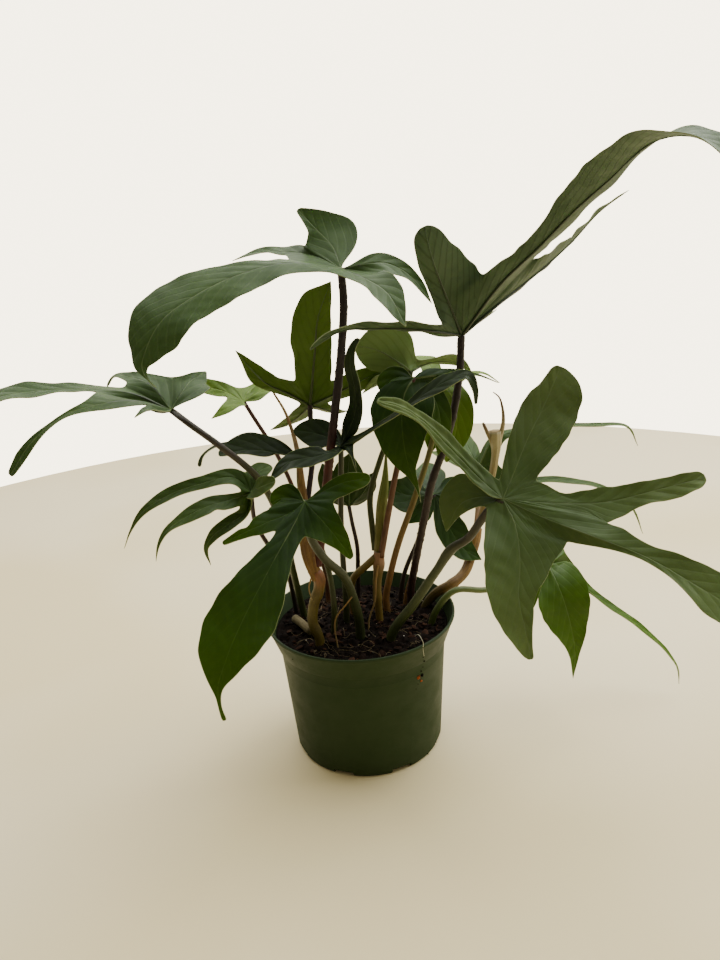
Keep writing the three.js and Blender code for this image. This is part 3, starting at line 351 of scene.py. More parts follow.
@dataclass
class Tube:
    """A round tapering rod along a curve, with optional ridges, warts and a flat side."""

    line: Rib
    radius: Callable[[float], float]
    sides: int = 14
    step: float = 4 * MM
    material: int = 0
    ridges: int = 0
    ridge_height: float = 0.0
    wart_height: float = 0.0
    wart_size: float = 2.4 * MM
    flatness: float = 1.0

    def swelling(self, place: Vector, angle: float) -> float:
        """Share by which ridges and warts raise the surface at a place.

        Args:
            place: a place on the plain tube.
            angle: the angle round the tube there.

        Returns:
            The share of the radius, 1 where the tube is plain.
        """
        share = 1 + self.ridge_height * math.cos(self.ridges * angle) if self.ridges else 1.0
        if self.wart_height:
            share += self.wart_height * smooth(0.1, 0.6, noise.noise(place / self.wart_size))
        return share

    def add_to(self, mesh: Mesh) -> None:
        """Adds the tube, closed at both ends, to a mesh.

        Args:
            mesh: a mesh with the pattern layers.
        """
        steps = max(4, round(self.line.length / self.step))
        verts = bmesh.ops.create_grid(
            mesh, x_segments=self.sides, y_segments=steps, size=0.5)["verts"]
        for face in {face for vert in verts for face in vert.link_faces}:
            face.material_index = self.material
        self._write_pattern(mesh, verts)
        frames = self._frames(steps)
        ends: dict[int, list[Vert]] = {0: [], steps: []}
        first_column = {}
        last_column = {}
        for vert in verts:
            column = round((vert.co.x + 0.5) * self.sides)
            row = round((vert.co.y + 0.5) * steps)
            place, right, forward = frames[row]
            angle = 2 * math.pi * column / self.sides
            outward = right * math.cos(angle) * self.flatness + forward * math.sin(angle)
            reach = outward * self.radius(row / steps)
            vert.co = place + reach * self.swelling(place + reach, angle)
            if column == self.sides:
                last_column[row] = vert
                continue
            if column == 0:
                first_column[row] = vert
            if row in ends:
                ends[row].append(vert)
        seam = {last_column[row]: first_column[row] for row in first_column}
        bmesh.ops.weld_verts(mesh, targetmap=seam)
        for ring in ends.values():
            edges = {edge for vert in ring for edge in vert.link_edges if edge.is_boundary}
            for face in bmesh.ops.edgeloop_fill(mesh, edges=list(edges))["faces"]:
                face.material_index = self.material

    def _frames(self, steps: int) -> list[tuple[Vector, Vector, Vector]]:
        """Place, right and forward directions at each ring.

        Args:
            steps: how many rings, less one.

        Returns:
            The three vectors of each ring.
        """
        frames = []
        forward = Vector((0, 1, 0))
        for i in range(steps + 1):
            heading = self.line.heading(i / steps)
            right = forward.cross(heading).normalized()
            forward = heading.cross(right).normalized()
            frames.append((self.line.at(i / steps), right, forward.copy()))
        return frames

    def _write_pattern(self, mesh: Mesh,
                       verts: Sequence[Vert]) -> None:
        """Writes the places round and along the still flat grid into the pattern layers.

        Args:
            mesh: the mesh.
            verts: the grid's vertices.
        """
        pattern = mesh.loops.layers.uv[PATTERN]
        reach = mesh.loops.layers.uv[REACH]
        girth = 2 * math.pi * self.radius(0.5) / MM
        length = self.line.length / MM
        for loop in {loop for vert in verts for loop in vert.link_loops}:
            turn, u = loop.vert.co.x + 0.5, loop.vert.co.y + 0.5
            loop[pattern].uv = (turn * girth, u * length)
            loop[reach].uv = (1.0, u)


# ---- materials


def linear(colour: str) -> tuple[float, float, float, float]:
    """Turns an sRGB hex colour into linear red, green, blue and alpha.

    Args:
        colour: six hex digits.

    Returns:
        Four linear values.
    """
    shares = [int(colour[i:i + 2], 16) / 255 for i in (0, 2, 4)]
    levels = [s / 12.92 if s <= 0.04045 else ((s + 0.055) / 1.055) ** 2.4 for s in shares]
    return levels[0], levels[1], levels[2], 1.0


class Finish:
    """A material's node tree, around one Principled shader."""

    def __init__(self, name: str, roughness: float, ior: float = 1.45,
                 specular: float = 0.5) -> None:
        """Starts a material.

        Args:
            name: the real material and how it was made.
            roughness: the shader's roughness where no pattern drives it.
            ior: index of refraction.
            specular: level of the mirror part, 0.5 where the index says it all.
        """
        self.material = bpy.data.materials.new(name)
        self.material.use_nodes = True
        self.tree = self.material.node_tree
        self.shader = self.tree.nodes["Principled BSDF"]
        self.shader.inputs["Roughness"].default_value = roughness
        self.shader.inputs["IOR"].default_value = ior
        self.shader.inputs["Specular IOR Level"].default_value = specular
        self.place = self.add("TexCoord").outputs["Object"]

    def let_light_through(self, share: float, reach: tuple[float, float, float]) -> None:
        """Lets light spread inside a thin living piece.

        Args:
            share: how much of its colour comes from inside.
            reach: how far red, green and blue light spread, in metres.
        """
        self.shader.inputs["Subsurface Weight"].default_value = share
        self.shader.inputs["Subsurface Radius"].default_value = reach
        self.shader.inputs["Subsurface Scale"].default_value = 1.0

    def add(self, kind: str, *values: object, **settings: object) -> bpy.types.Node:
        """Adds a node with its settings and links.

        Args:
            kind: the node's type, without its prefix.
            values: what goes into its enabled inputs in order: a node or socket is linked,
                None is left as it is, and anything else is set.
            settings: the node's own properties.

        Returns:
            The node.
        """
        made = self.tree.nodes.new("ShaderNode" + kind)
        for name, value in settings.items():
            setattr(made, name, value)
        for socket, value in zip([i for i in made.inputs if i.enabled], values):
            if isinstance(value, bpy.types.Node):
                value = next(output for output in value.outputs if output.enabled)
            if isinstance(value, bpy.types.NodeSocket):
                self.tree.links.new(value, socket)
            elif value is not None:
                socket.default_value = value
        return made

    def layer(self, name: str) -> tuple[bpy.types.NodeSocket, bpy.types.NodeSocket]:
        """The two values of a pattern layer.

        Args:
            name: the layer's name.

        Returns:
            Its first and second value.
        """
        split = self.add("SeparateXYZ", self.add("UVMap", uv_map=name))
        return split.outputs["X"], split.outputs["Y"]

    def set(self, colour: object, height: object = None, depth: float = 0.2 * MM,
            roughness: object = None) -> Material:
        """Links colour, relief and roughness to the shader.

        Args:
            colour: a node that gives the base colour.
            height: a node that gives the relief, 0 to 1, if any.
            depth: what a height of 1 stands for, in metres.
            roughness: a node that gives the roughness, if any.

        Returns:
            The finished material.
        """
        sockets = self.shader.inputs
        for source, name in ((colour, "Base Color"), (roughness, "Roughness")):
            if source is not None:
                output = next(o for o in source.outputs if o.enabled)
                self.tree.links.new(output, sockets[name])
        if height is not None:
            bump = self.add("Bump", 1.0, depth, None, height)
            self.tree.links.new(bump.outputs["Normal"], sockets["Normal"])
        return self.material


MADE: dict[str, Material] = {}


def material_of(skin: object) -> Material:
    """The material of a skin, made once.

    Args:
        skin: an object with a name and a method that makes its material.

    Returns:
        The material.
    """
    if skin.name not in MADE:
        MADE[skin.name] = skin.material()
    return MADE[skin.name]


# Side veins: from one to the next along the midrib, how far they run towards the tip for
# each millimetre that they run outwards, and how much more with each further one.
VEIN_SPACING = 15.0
VEIN_LEAN = 1.9
VEIN_BEND = 0.02


@dataclass(frozen=True)
class BladeSkin:
    """One face of a leaf blade.

    A living cuticle: waxy and satin above, duller below. Side veins leave the midrib at a
    slant and bend towards the tip; they lie a little sunk above and stand a little proud
    below. Colours are sRGB hex.
    """

    name: str
    base: str
    shade: str
    tip: str
    vein: str
    edge: str = "6c7648"
    roughness: float = 0.36
    raised: float = -1.0
    vein_share: float = 0.1
    midrib_half: float = 0.55
    midrib_share: float = 0.55
    specular: float = 0.2
    glow: float = 0.45

    FINE_SPACING = 1.9
    MOTTLE = 38 * MM
    CELLS = 1.1 * MM
    GLOW_REACH = (0.7 * MM, 1.0 * MM, 0.25 * MM)
    MARGIN = 0.4
    MARGIN_SHARE = 0.6
    WANDER = 5.0
    VEIN_SHARPNESS = 9.0
    FINE_SHARPNESS = 3.0
    FINE_SHARE = 0.3
    WANDER_LENGTH = 22 * MM
    MIDRIB_CORE = 0.35
    MARGIN_CORE = 0.5
    CELL_SHARE = 0.18
    PATCH_RANGE = (0.35, 0.7)
    TIP_RANGE = (0.25, 1.0)
    CELL_RANGE = (0.3, 0.75)
    SHEEN_RANGE = (0.3, 0.75)
    SHEEN = (-0.06, 0.1)
    FINE_RELIEF = 0.1
    CELL_RELIEF = 0.2
    RELIEF = 0.14 * MM

    def _pulses(self, finish: Finish, phase: object, spacing: float,
                sharpness: float) -> bpy.types.Node:
        """Narrow ridges that repeat along a phase.

        Args:
            finish: the material being made.
            phase: the distance that they repeat over, in millimetres.
            spacing: from ridge to ridge, in millimetres.
            sharpness: how narrow they are.

        Returns:
            A node from 0 between them to 1 on them.
        """
        turn = finish.add("Math", phase, 2 * math.pi / spacing, operation="MULTIPLY")
        wave = finish.add("Math", turn, operation="COSINE")
        share = finish.add("Math", wave, 0.5, 0.5, operation="MULTIPLY_ADD")
        return finish.add("Math", share, sharpness, operation="POWER")

    def material(self) -> Material:
        """Makes the material.

        Returns:
            The material.
        """
        finish = Finish(self.name, self.roughness, 1.4, self.specular)
        finish.let_light_through(self.glow, self.GLOW_REACH)
        across, along_rib = finish.layer(PATTERN)
        margin, reach = finish.layer(REACH)
        off = finish.add("Math", across, operation="ABSOLUTE")
        square = finish.add("Math", off, off, operation="MULTIPLY")
        wander = finish.add("TexNoise", finish.place, 1 / self.WANDER_LENGTH, 2.0)
        phase = finish.add("Math", off, -VEIN_LEAN, along_rib, operation="MULTIPLY_ADD")
        phase = finish.add("Math", square, -VEIN_BEND, phase, operation="MULTIPLY_ADD")
        side_veins = self._pulses(finish, phase, VEIN_SPACING, self.VEIN_SHARPNESS)
        phase = finish.add("Math", wander, self.WANDER, phase, operation="MULTIPLY_ADD")
        fine_veins = self._pulses(finish, phase, self.FINE_SPACING, self.FINE_SHARPNESS)
        midrib = finish.add("MapRange", off, self.midrib_half,
                            self.midrib_half * self.MIDRIB_CORE, 0.0, self.midrib_share,
                            interpolation_type="SMOOTHSTEP")
        rim = finish.add("MapRange", margin, self.MARGIN, self.MARGIN * self.MARGIN_CORE,
                         0.0, self.MARGIN_SHARE)
        mottle = finish.add("TexNoise", finish.place, 1 / self.MOTTLE, 4.0, 0.55)
        patch = finish.add("MapRange", mottle, *self.PATCH_RANGE)
        tip_share = finish.add("MapRange", reach, *self.TIP_RANGE)
        cells = finish.add("TexNoise", finish.place, 1 / self.CELLS, 3.0, 0.6)
        side_tint = finish.add("Math", side_veins, self.vein_share, operation="MULTIPLY")
        fine_tint = finish.add("Math", fine_veins,
                               self.vein_share * self.FINE_SHARE, operation="MULTIPLY")
        cell_tint = finish.add("MapRange", cells, *self.CELL_RANGE, 0.0,
                               self.CELL_SHARE)
        colour = linear(self.base)
        for share, other in ((patch, self.shade), (tip_share, self.tip), (cell_tint, self.shade),
                             (fine_tint, self.vein), (side_tint, self.vein),
                             (midrib, self.vein), (rim, self.edge)):
            colour = finish.add("Mix", share, colour, linear(other), data_type="RGBA")
        veins = finish.add("Math", fine_veins, self.FINE_RELIEF, side_veins,
                           operation="MULTIPLY_ADD")
        relief = finish.add("Math", veins, 0.5 * self.raised, 0.5,
                            operation="MULTIPLY_ADD")
        relief = finish.add("Math", cells, self.CELL_RELIEF, relief,
                            operation="MULTIPLY_ADD")
        sheen = finish.add("MapRange", mottle, *self.SHEEN_RANGE,
                           *(self.roughness + change for change in self.SHEEN))
        return finish.set(colour, relief, self.RELIEF, sheen)


@dataclass(frozen=True)
class StalkSkin:
    """The skin of a stem, stalk, sheath or root.

    Living skin or dry fibre: satin, streaked along its length, with pale specks. The colour
    runs from the foot's to the top's. Colours are sRGB hex.
    """

    name: str
    foot: str
    top: str
    streak: str
    speck: str = "8c8460"
    roughness: float = 0.5
    streak_share: float = 0.5
    speck_share: float = 0.3
    turn_low: float = 0.15
    turn_high: float = 0.8

    STREAK_WIDTH = 0.9
    STREAK_LENGTH = 16.0
    SPECK = 1.9 * MM
    MOTTLE = 9 * MM
    MOTTLE_SHARE = 0.45
    STREAK_RANGE = (0.42, 0.7)
    SPECK_RANGE = (0.22, 0.1)
    MOTTLE_RANGE = (0.35, 0.7)
    SHEEN_RANGE = (0.3, 0.7)
    SHEEN = (-0.08, 0.1)
    RELIEF = 0.3 * MM

    def material(self) -> Material:
        """Makes the material.

        Returns:
            The material.
        """
        finish = Finish(self.name, self.roughness)
        across, along_rib = finish.layer(PATTERN)
        _, reach = finish.layer(REACH)
        round_it = finish.add("Math", across, self.STREAK_WIDTH, operation="DIVIDE")
        up_it = finish.add("Math", along_rib, self.STREAK_LENGTH, operation="DIVIDE")
        sheet = finish.add("CombineXYZ", round_it, up_it, 0.0)
        streaks = finish.add("TexNoise", sheet, 1.0, 3.0, 0.6)
        streak = finish.add("MapRange", streaks, *self.STREAK_RANGE, 0.0,
                            self.streak_share)
        dots = finish.add("TexVoronoi", finish.place, 1 / self.SPECK)
        speck = finish.add("MapRange", dots, *self.SPECK_RANGE, 0.0, self.speck_share)
        turn = finish.add("MapRange", reach, self.turn_low, self.turn_high,
                          interpolation_type="SMOOTHSTEP")
        mottle = finish.add("TexNoise", finish.place, 1 / self.MOTTLE, 3.0)
        patch = finish.add("MapRange", mottle, *self.MOTTLE_RANGE, 0.0,
                           self.MOTTLE_SHARE)
        colour = finish.add("Mix", turn, linear(self.foot), linear(self.top),
                            data_type="RGBA")
        for share, other in ((patch, self.streak), (streak, self.streak), (speck, self.speck)):
            colour = finish.add("Mix", share, colour, linear(other), data_type="RGBA")
        relief = finish.add("Math", streaks, speck, operation="ADD")
        sheen = finish.add("MapRange", mottle, *self.SHEEN_RANGE,
                           *(self.roughness + change for change in self.SHEEN))
        return finish.set(colour, relief, self.RELIEF, sheen)


@dataclass(frozen=True)
class MouldedPlastic:
    """Injection-moulded polypropylene of the pot.

    Satin and slightly uneven, with faint flow bands, scuffs and dried water marks.
    """

    name: str = "polypropylene_moulded"
    base: str = "233418"
    light: str = "2c3d21"
    dust: str = "323a22"
    roughness: float = 0.54

    CLOUD = 45 * MM
    GRAIN = 0.8 * MM
    SCUFF = 30 * MM
    SCUFF_STRETCH = (1.0, 1.0, 1.4)
    MARK = 13 * MM
    CLOUD_RANGE = (0.35, 0.7, 0.0, 0.45)
    SCUFF_RANGE = (0.62, 0.8, 0.0, 0.1)
    MARK_RANGE = (0.07, 0.03, 0.0, 0.3)
    SHEEN_RANGE = (0.35, 0.7)
    SHEEN = (-0.05, 0.14)
    RELIEF = 0.05 * MM

    def material(self) -> Material:
        """Makes the material.

        Returns:
            The material.
        """
        finish = Finish(self.name, self.roughness, 1.49, 0.18)
        clouds = finish.add("TexNoise", finish.place, 1 / self.CLOUD, 4.0, 0.6)
        grain = finish.add("TexNoise", finish.place, 1 / self.GRAIN, 2.0, 0.5)
        squash = finish.add("Mapping", finish.place, None, None, self.SCUFF_STRETCH)
        scuff = finish.add("TexNoise", squash, 1 / self.SCUFF, 6.0, 0.7)
        marks = finish.add("TexVoronoi", finish.place, 1 / self.MARK)
        cloud = finish.add("MapRange", clouds, *self.CLOUD_RANGE)
        scuffed = finish.add("MapRange", scuff, *self.SCUFF_RANGE)
        spots = finish.add("MapRange", marks, *self.MARK_RANGE)
        colour = linear(self.base)
        for share, other in ((cloud, self.light), (scuffed, self.dust), (spots, self.dust)):
            colour = finish.add("Mix", share, colour, linear(other), data_type="RGBA")
        sheen = finish.add("MapRange", scuff, *self.SHEEN_RANGE,
                           *(self.roughness + change for change in self.SHEEN))
        return finish.set(colour, grain, self.RELIEF, sheen)


@dataclass(frozen=True)
class Crumbly:
    """Potting mix and what lies in it: matt, uneven grains of one tone each.

    The first value of the pattern layer picks a grain's tone between two colours.
    """

    name: str
    dark: str
    light: str
    roughness: float = 0.92
    grain: float = 0.9 * MM
    depth: float = 0.5 * MM

    CLUMP = 6
    TONE_RANGE = (0.1, 0.6)
    WET_RANGE = (0.4, 0.65, 0.0, 0.5)

    def material(self) -> Material:
        """Makes the material.

        Returns:
            The material.
        """
        finish = Finish(self.name, self.roughness, 1.4, 0.15)
        tone, _ = finish.layer(PATTERN)
        grains = finish.add("TexNoise", finish.place, 1 / self.grain, 5.0, 0.65)
        clumps = finish.add("TexNoise", finish.place, 1 / (self.CLUMP * self.grain), 3.0)
        share = finish.add("Math", tone, grains, operation="MULTIPLY")
        share = finish.add("MapRange", share, *self.TONE_RANGE)
        wet = finish.add("MapRange", clumps, *self.WET_RANGE)
        colour = finish.add("Mix", share, linear(self.dark), linear(self.light),
                            data_type="RGBA")
        colour = finish.add("Mix", wet, colour, linear(self.dark), data_type="RGBA")
        return finish.set(colour, grains, self.depth)


# ---- leaves


@dataclass(frozen=True)
class Foliage:
    """What a leaf is covered with: its slot, upper face, underside and ribs below."""

    slot: Slot
    upper: BladeSkin
    under: BladeSkin
    rib: StalkSkin


CUT_EDGE = StalkSkin("leaf_margin_thin", "7d8a58", "8b9568", "6f7c48", speck_share=0.0)


def foliage(name: str, slot: Slot, base: str, shade: str, tip: str, vein: str, under: str,
            under_shade: str, under_vein: str, roughness: float = 0.4,
            vein_share: float = 0.1, under_vein_share: float = 0.14) -> Foliage:
    """Puts a leaf's skins together.

    Args:
        name: what the blade is like.
        slot: the record's slot of its leaves.
        base: colour of the upper face.
        shade: darker patches of the upper face.
        tip: colour of the upper face towards the tips.
        vein: colour of the upper veins.
        under: colour of the underside.
        under_shade: darker patches of the underside.
        under_vein: colour of the veins below.
        roughness: of the upper face.
        vein_share: how strongly side veins show above.
        under_vein_share: how strongly they show below.

    Returns:
        The leaf's skins.
    """
    return Foliage(
        slot,
        BladeSkin(f"leaf_cuticle_{name}_upper", base, shade, tip, vein,
                  roughness=roughness, vein_share=vein_share),
        BladeSkin(f"leaf_cuticle_{name}_under", under, under_shade, under, under_vein,
                  roughness=0.5, raised=1.0, vein_share=under_vein_share, midrib_half=0.4),
        StalkSkin(f"leaf_rib_{name}", under_vein, under, under_shade, speck_share=0.0,
                  roughness=0.45, turn_low=0.5, turn_high=1.0))


CROWN = foliage("crown", Slot.GREY_LEAF, "465c32", "344826", "3e5628", "6a7a52",
                "4a5e42", "3a4c32", "1f2811", 0.5, 0.12, 0.4)
ROUND = foliage("round", Slot.GREY_LEAF, "465c32", "344826", "3e5628", "6a7a52",
                "6c844e", "5e7440", "4a5a2a", 0.5, 0.12, 0.2)
# Leaves at the back: their lighter yellow-green, above and below, is partly their own fresh colour
# and partly painted light shining through them from behind.
FRESH_BACKLIT = foliage("fresh_backlit", Slot.FRESH_LEAF, "587026", "455b1c", "5e7c20", "7f9346",
                 "526c26", "425a1b", "26310c", 0.52)
DEEP = foliage("deep", Slot.DARK_LEAF, "203a0f", "172b09", "3c5a0c", "455f24",
               "34481a", "2a3c13", "4c5c28", 0.5)
SATIN = foliage("satin", Slot.DARK_LEAF, "485c30", "39491f", "5d6e3c", "62724a",
                "41552a", "35461f", "4e602a", 0.5)
GLOSS = foliage("gloss", Slot.FRESH_LEAF, "48641f", "385018", "4a6c1a", "627c3c",
                "435e20", "364d17", "526a2c", 0.38)
SLENDER = foliage("slender", Slot.GREY_LEAF, "3a5121", "2e4218", "465c26", "5c7044",
                  "485a2c", "3b4b22", "5a6a3a", 0.52)
# Leaves deep inside the plant: their darker, greyer skins are painted shade.
SHADE = foliage("shade", Slot.DARK_LEAF, "24331c", "1a2616", "2c3a20", "3c4b30",
                "2c3a21", "233019", "3c4a2a", 0.48)
INNER = foliage("inner", Slot.DARK_LEAF, "243a17", "1b2d10", "2c4818", "3e5628",
                "304518", "283914", "465828", 0.5)


@dataclass
class Lobe:
    """One lobe of a leaf.

    The rib's places are column, row and depth as seen from the viewpoint; left and right
    are half widths in millimetres at even stations along it; face and tip turn its upper
    face, the more towards the tip the greater turn is; cup raises its edges in degrees.
    Furrows are the height in millimetres of folds along it. Bites are torn places in its
    edge: share along it, depth in millimetres (negative on the right) and half length in
    millimetres.
    """

    rib: Sequence[Place]
    left: Sequence[float]
    right: Sequence[float] | None = None
    face: Place | None = None
    tip: Place | None = None
    cup: float = 8.0
    turn: float = 1.0
    furrows: float = 0.0
    bites: Sequence[tuple[float, float, float]] = ()


@dataclass
class Leaf:
    """A whole blade: the junction where its ribs meet, the points between neighbouring
    lobes (webs), and its lobes counter-clockwise from above."""

    skin: Foliage
    junction: Place
    face: Place
    webs: Sequence[Place]
    lobes: Sequence[Lobe]

    THICKNESS = 0.55 * MM
    SEAM_SMOOTHINGS = 5
    WEB_ROUNDING = 7 * MM
    RIB_SIDES = 8
    RIB_STEP = 7 * MM
    RIB_FOOT = 1.25 * MM
    RIB_TIP = 0.2 * MM
    RIB_SPAN = 0.97
    RIB_PLACES = 16
    RIB_FULL_LENGTH = 120 * MM
    RIB_LEAST = 0.45
    RIB_TAPER = 0.8
    RIB_SINK = 0.75

    @classmethod
    def of(cls, skin: Foliage, junction: Place, face: Place, webs: Sequence[Place],
           *lobes: Lobe) -> "Leaf":
        """Puts a leaf together from its lobes in order."""
        return cls(skin, junction, face, webs, lobes)

    def build(self, name: str) -> Piece:
        """Builds the blade with its ribs and dresses it.

        Args:
            name: the leaf's name, as its CAD node's after leaf_.

        Returns:
            The piece.
        """
        piece = new_object(f"blade_{name}", self._sheet(name), [
            material_of(self.skin.upper), material_of(self.skin.under), material_of(CUT_EDGE),
            material_of(self.skin.rib)])
        fine = piece.modifiers.new("fine", "SUBSURF")
        fine.levels = fine.render_levels = 1
        wall = piece.modifiers.new("wall", "SOLIDIFY")
        wall.thickness = self.THICKNESS
        wall.offset = 0
        wall.material_offset = 1
        wall.material_offset_rim = 2
        bake_modifiers(piece)
        mesh = bmesh.new()
        mesh.from_mesh(piece.data)
        for index in range(len(self.lobes)):
            self._rib(index).add_to(mesh)
        mesh.to_mesh(piece.data)
        mesh.free()
        piece.data.shade_smooth()
        dress(piece, f"leaf_{name}")
        return piece

    def _sheet(self, name: str) -> Mesh:
        """The middle sheet of the blade, its lobes merged along their seams.

        Args:
            name: seeds the waves of its edges.

        Returns:
            The sheet.
        """
        mesh = new_mesh()
        surfaces = [Surface(self, i, f"{name}{i}") for i in range(len(self.lobes))]
        seams: list[Vert] = []
        for surface in surfaces:
            seams += surface.add_to(mesh)
        seam_places = [vert.co.copy() for vert in seams]
        bmesh.ops.remove_doubles(mesh, verts=mesh.verts[:], dist=MERGE)
        bmesh.ops.dissolve_degenerate(mesh, edges=mesh.edges[:], dist=MERGE)
        webs = [VIEW.seen(web) for web in self.webs]
        near_web = [vert for vert in mesh.verts if vert.is_boundary
                    and any((vert.co - web).length < self.WEB_ROUNDING for web in webs)]
        known = {tuple(round(c, 6) for c in place) for place in seam_places}
        seam = [vert for vert in mesh.verts if not vert.is_boundary
                and tuple(round(c, 6) for c in vert.co) in known]
        beside = {edge.other_vert(vert) for vert in seam for edge in vert.link_edges}
        soft = [vert for vert in {*seam, *beside} if not vert.is_boundary]
        for _ in range(self.SEAM_SMOOTHINGS):
            for verts in (soft, near_web):
                if verts:
                    bmesh.ops.smooth_vert(mesh, verts=verts, factor=0.5, use_axis_x=True,
                                          use_axis_y=True, use_axis_z=True)
        return mesh

    def _rib(self, index: int) -> Tube:
        """The raised rib under one lobe.

        Args:
            index: which lobe.

        Returns:
            The rod.
        """
        surface = Surface(self, index, "")
        reach = min(1.0, surface.rib.length / self.RIB_FULL_LENGTH)
        foot = self.RIB_FOOT * (self.RIB_LEAST + (1 - self.RIB_LEAST) * reach)

        def radius(u: float) -> float:
            """Radius of the rib at u."""
            return self.RIB_TIP + (foot - self.RIB_TIP) * max(0.0, 1 - u) ** self.RIB_TAPER

        places = []
        for i in range(self.RIB_PLACES):
            u = self.RIB_SPAN * i / (self.RIB_PLACES - 1)
            _, up = surface.axes(u)
            sunk = self.THICKNESS / 4 + radius(u / self.RIB_SPAN) * self.RIB_SINK
            places.append(surface.rib.at(u) - up * sunk)
        return Tube(Rib(places), radius, self.RIB_SIDES, self.RIB_STEP, material=3)


class Surface:
    """The surface that one lobe spans over its rib, out to its neighbours' seams."""

    STATIONS = (0.0, 0.035, 0.09, 0.22, 0.4, 0.6, 0.8, 0.94, 1.0)
    GROOVE = (1.0, 0.35, -0.25, -0.1, 0.0, 0.0, 0.0, 0.0, 0.0)
    GROOVE_DEPTH = 0.4 * MM
    SEAM_ROWS = 8
    ROW_LENGTH = 3.0 * MM
    FEWEST_ROWS = 8
    SHORTEST_SEAM = 0.08
    LONGEST_SEAM = 0.6
    FACE_TURN_REACH = 1.5
    WEB_REACH = 0.35
    BOW = 1.6
    WAVE_HEIGHT = 0.9 * MM
    SHORTEST_WAVE = 30 * MM
    LONGEST_WAVE = 55 * MM
    SCALLOP = 0.02
    TIP_DENSITY = 1.35
    CAP_REACH = 1.1
    BLUNT_WIDTH = 1.5 * MM
    PLEAT_HEIGHT = 0.5 * MM
    FURROW_TURNS = 1.5
    SCALLOPS = 2.3
    SCALLOP_RISE = 0.15
    WAVE_RISE = 0.25
    WAVE_FULL = 0.95
    NARROW = 8 * MM

    def __init__(self, leaf: Leaf, index: int, seed: str) -> None:
        """Places a lobe.

        Args:
            leaf: the leaf that it belongs to.
            index: which of its lobes.
            seed: seeds its waves.
        """
        lobe = leaf.lobes[index]
        self.junction = VIEW.seen(leaf.junction)
        self.rib = Rib([self.junction, *(VIEW.seen(place) for place in lobe.rib)])
        self.webs = {
            -1: VIEW.seen(leaf.webs[index - 1]) if index > 0 else None,
            1: VIEW.seen(leaf.webs[index]) if index < len(leaf.webs) else None,
        }
        self.widths = {1: lobe.left, -1: lobe.right or lobe.left}
        self.base_face = Vector(leaf.face).normalized()
        self.lobe_face = Vector(lobe.face or leaf.face).normalized()
        self.tip_face = Vector(lobe.tip).normalized() if lobe.tip else self.lobe_face
        self.cup = math.radians(lobe.cup)
        self.turn = lobe.turn
        self.furrows = lobe.furrows * MM
        self.bites = lobe.bites
        reaches = [self.rib.nearest(web) for web in self.webs.values() if web]
        mean = sum(reaches) / len(reaches)
        self.joined = max(self.SHORTEST_SEAM, min(self.LONGEST_SEAM, mean))
        free = self.rib.length * (1 - self.joined)
        self.rows = max(self.FEWEST_ROWS, round(free / self.ROW_LENGTH))
        rng = random.Random(seed)
        self.wave = rng.uniform(self.SHORTEST_WAVE, self.LONGEST_WAVE)
        self.phases = {1: rng.uniform(0, 2 * math.pi), -1: rng.uniform(0, 2 * math.pi)}

    def axes(self, u: float) -> tuple[Vector, Vector]:
        """Sideways and upward directions of the blade at u.

        Args:
            u: share along, 0 to 1.

        Returns:
            The two directions.
        """
        turn = min(1.0, u / (self.joined * self.FACE_TURN_REACH))
        face = self.base_face.lerp(self.lobe_face, turn).normalized()
        tip_turn = max(0.0, (u - self.joined) / (1 - self.joined)) ** self.turn
        face = face.lerp(self.tip_face, tip_turn).normalized()
        heading = self.rib.heading(u)
        side = face.cross(heading).normalized()
        return side, heading.cross(side)

    def wing(self, u: float, sign: int) -> Vector:
        """Sideways direction of one wing at u, raised by the cup angle."""
        side, up = self.axes(u)
        return side * (sign * math.cos(self.cup)) + up * math.sin(self.cup)

    def width(self, u: float, sign: int) -> float:
        """Half width of one wing at u, in metres.

        Args:
            u: share along, 0 to 1.
            sign: 1 for the left wing, -1 for the right.

        Returns:
            The half width.
        """
        scallop = math.sin(self.SCALLOPS * 2 * math.pi * u * self.rib.length / self.wave
                           + self.phases[-sign])
        free = smooth(self.joined, self.joined + self.SCALLOP_RISE, u)
        return self.plain_width(u, sign) * (1 + self.SCALLOP * scallop * free)

    def plain_width(self, u: float, sign: int) -> float:
        """Half width without scallops; a blunt end is rounded off like a half circle.

        Args:
            u: share along, 0 to 1.
            sign: 1 for the left wing, -1 for the right.

        Returns:
            The half width in metres.
        """
        end = self.widths[sign][-1] * MM
        width = along(self.widths[sign], u) * MM - self._bitten(u, sign)
        cap = end * self.CAP_REACH / self.rib.length
        if end < self.BLUNT_WIDTH or u <= 1 - cap:
            return width
        past = min(1.0, (u - 1 + cap) / cap)
        return width * math.sqrt(1 - past * past)

    def _bitten(self, u: float, sign: int) -> float:
        """Depth of the torn places at u, in metres.

        Args:
            u: share along, 0 to 1.
            sign: 1 for the left wing, -1 for the right.

        Returns:
            The depth.
        """
        depth = 0.0
        for at, deep, half in self.bites:
            off = (u - at) * self.rib.length / (half * MM)
            if deep * sign > 0 and abs(off) < 1:
                depth += abs(deep) * MM * (1 - off * off) ** 2
        return depth

    def edge(self, u: float, sign: int) -> Vector:
        """Offset from the rib to the edge of one wing at u.

        Args:
            u: share along, 0 to 1.
            sign: 1 for the left wing, -1 for the right.

        Returns:
            The offset in metres.
        """
        own = self.wing(u, sign) * self.width(u, sign)
        web = self.webs[sign]
        if web is None:
            ease = min(1.0, u / self.joined)
            return own * (ease * (2 - ease))
        if u <= self.joined:
            return self.junction.lerp(web, u / self.joined) - self.rib.at(u)
        at_web = self.wing(self.joined, sign) * self.width(self.joined, sign)
        rest = web - self.rib.at(self.joined) - at_web
        away = min(1.0, (u - self.joined) / (1 - self.joined) / self.WEB_REACH)
        return own + rest * (1 - away) ** 2

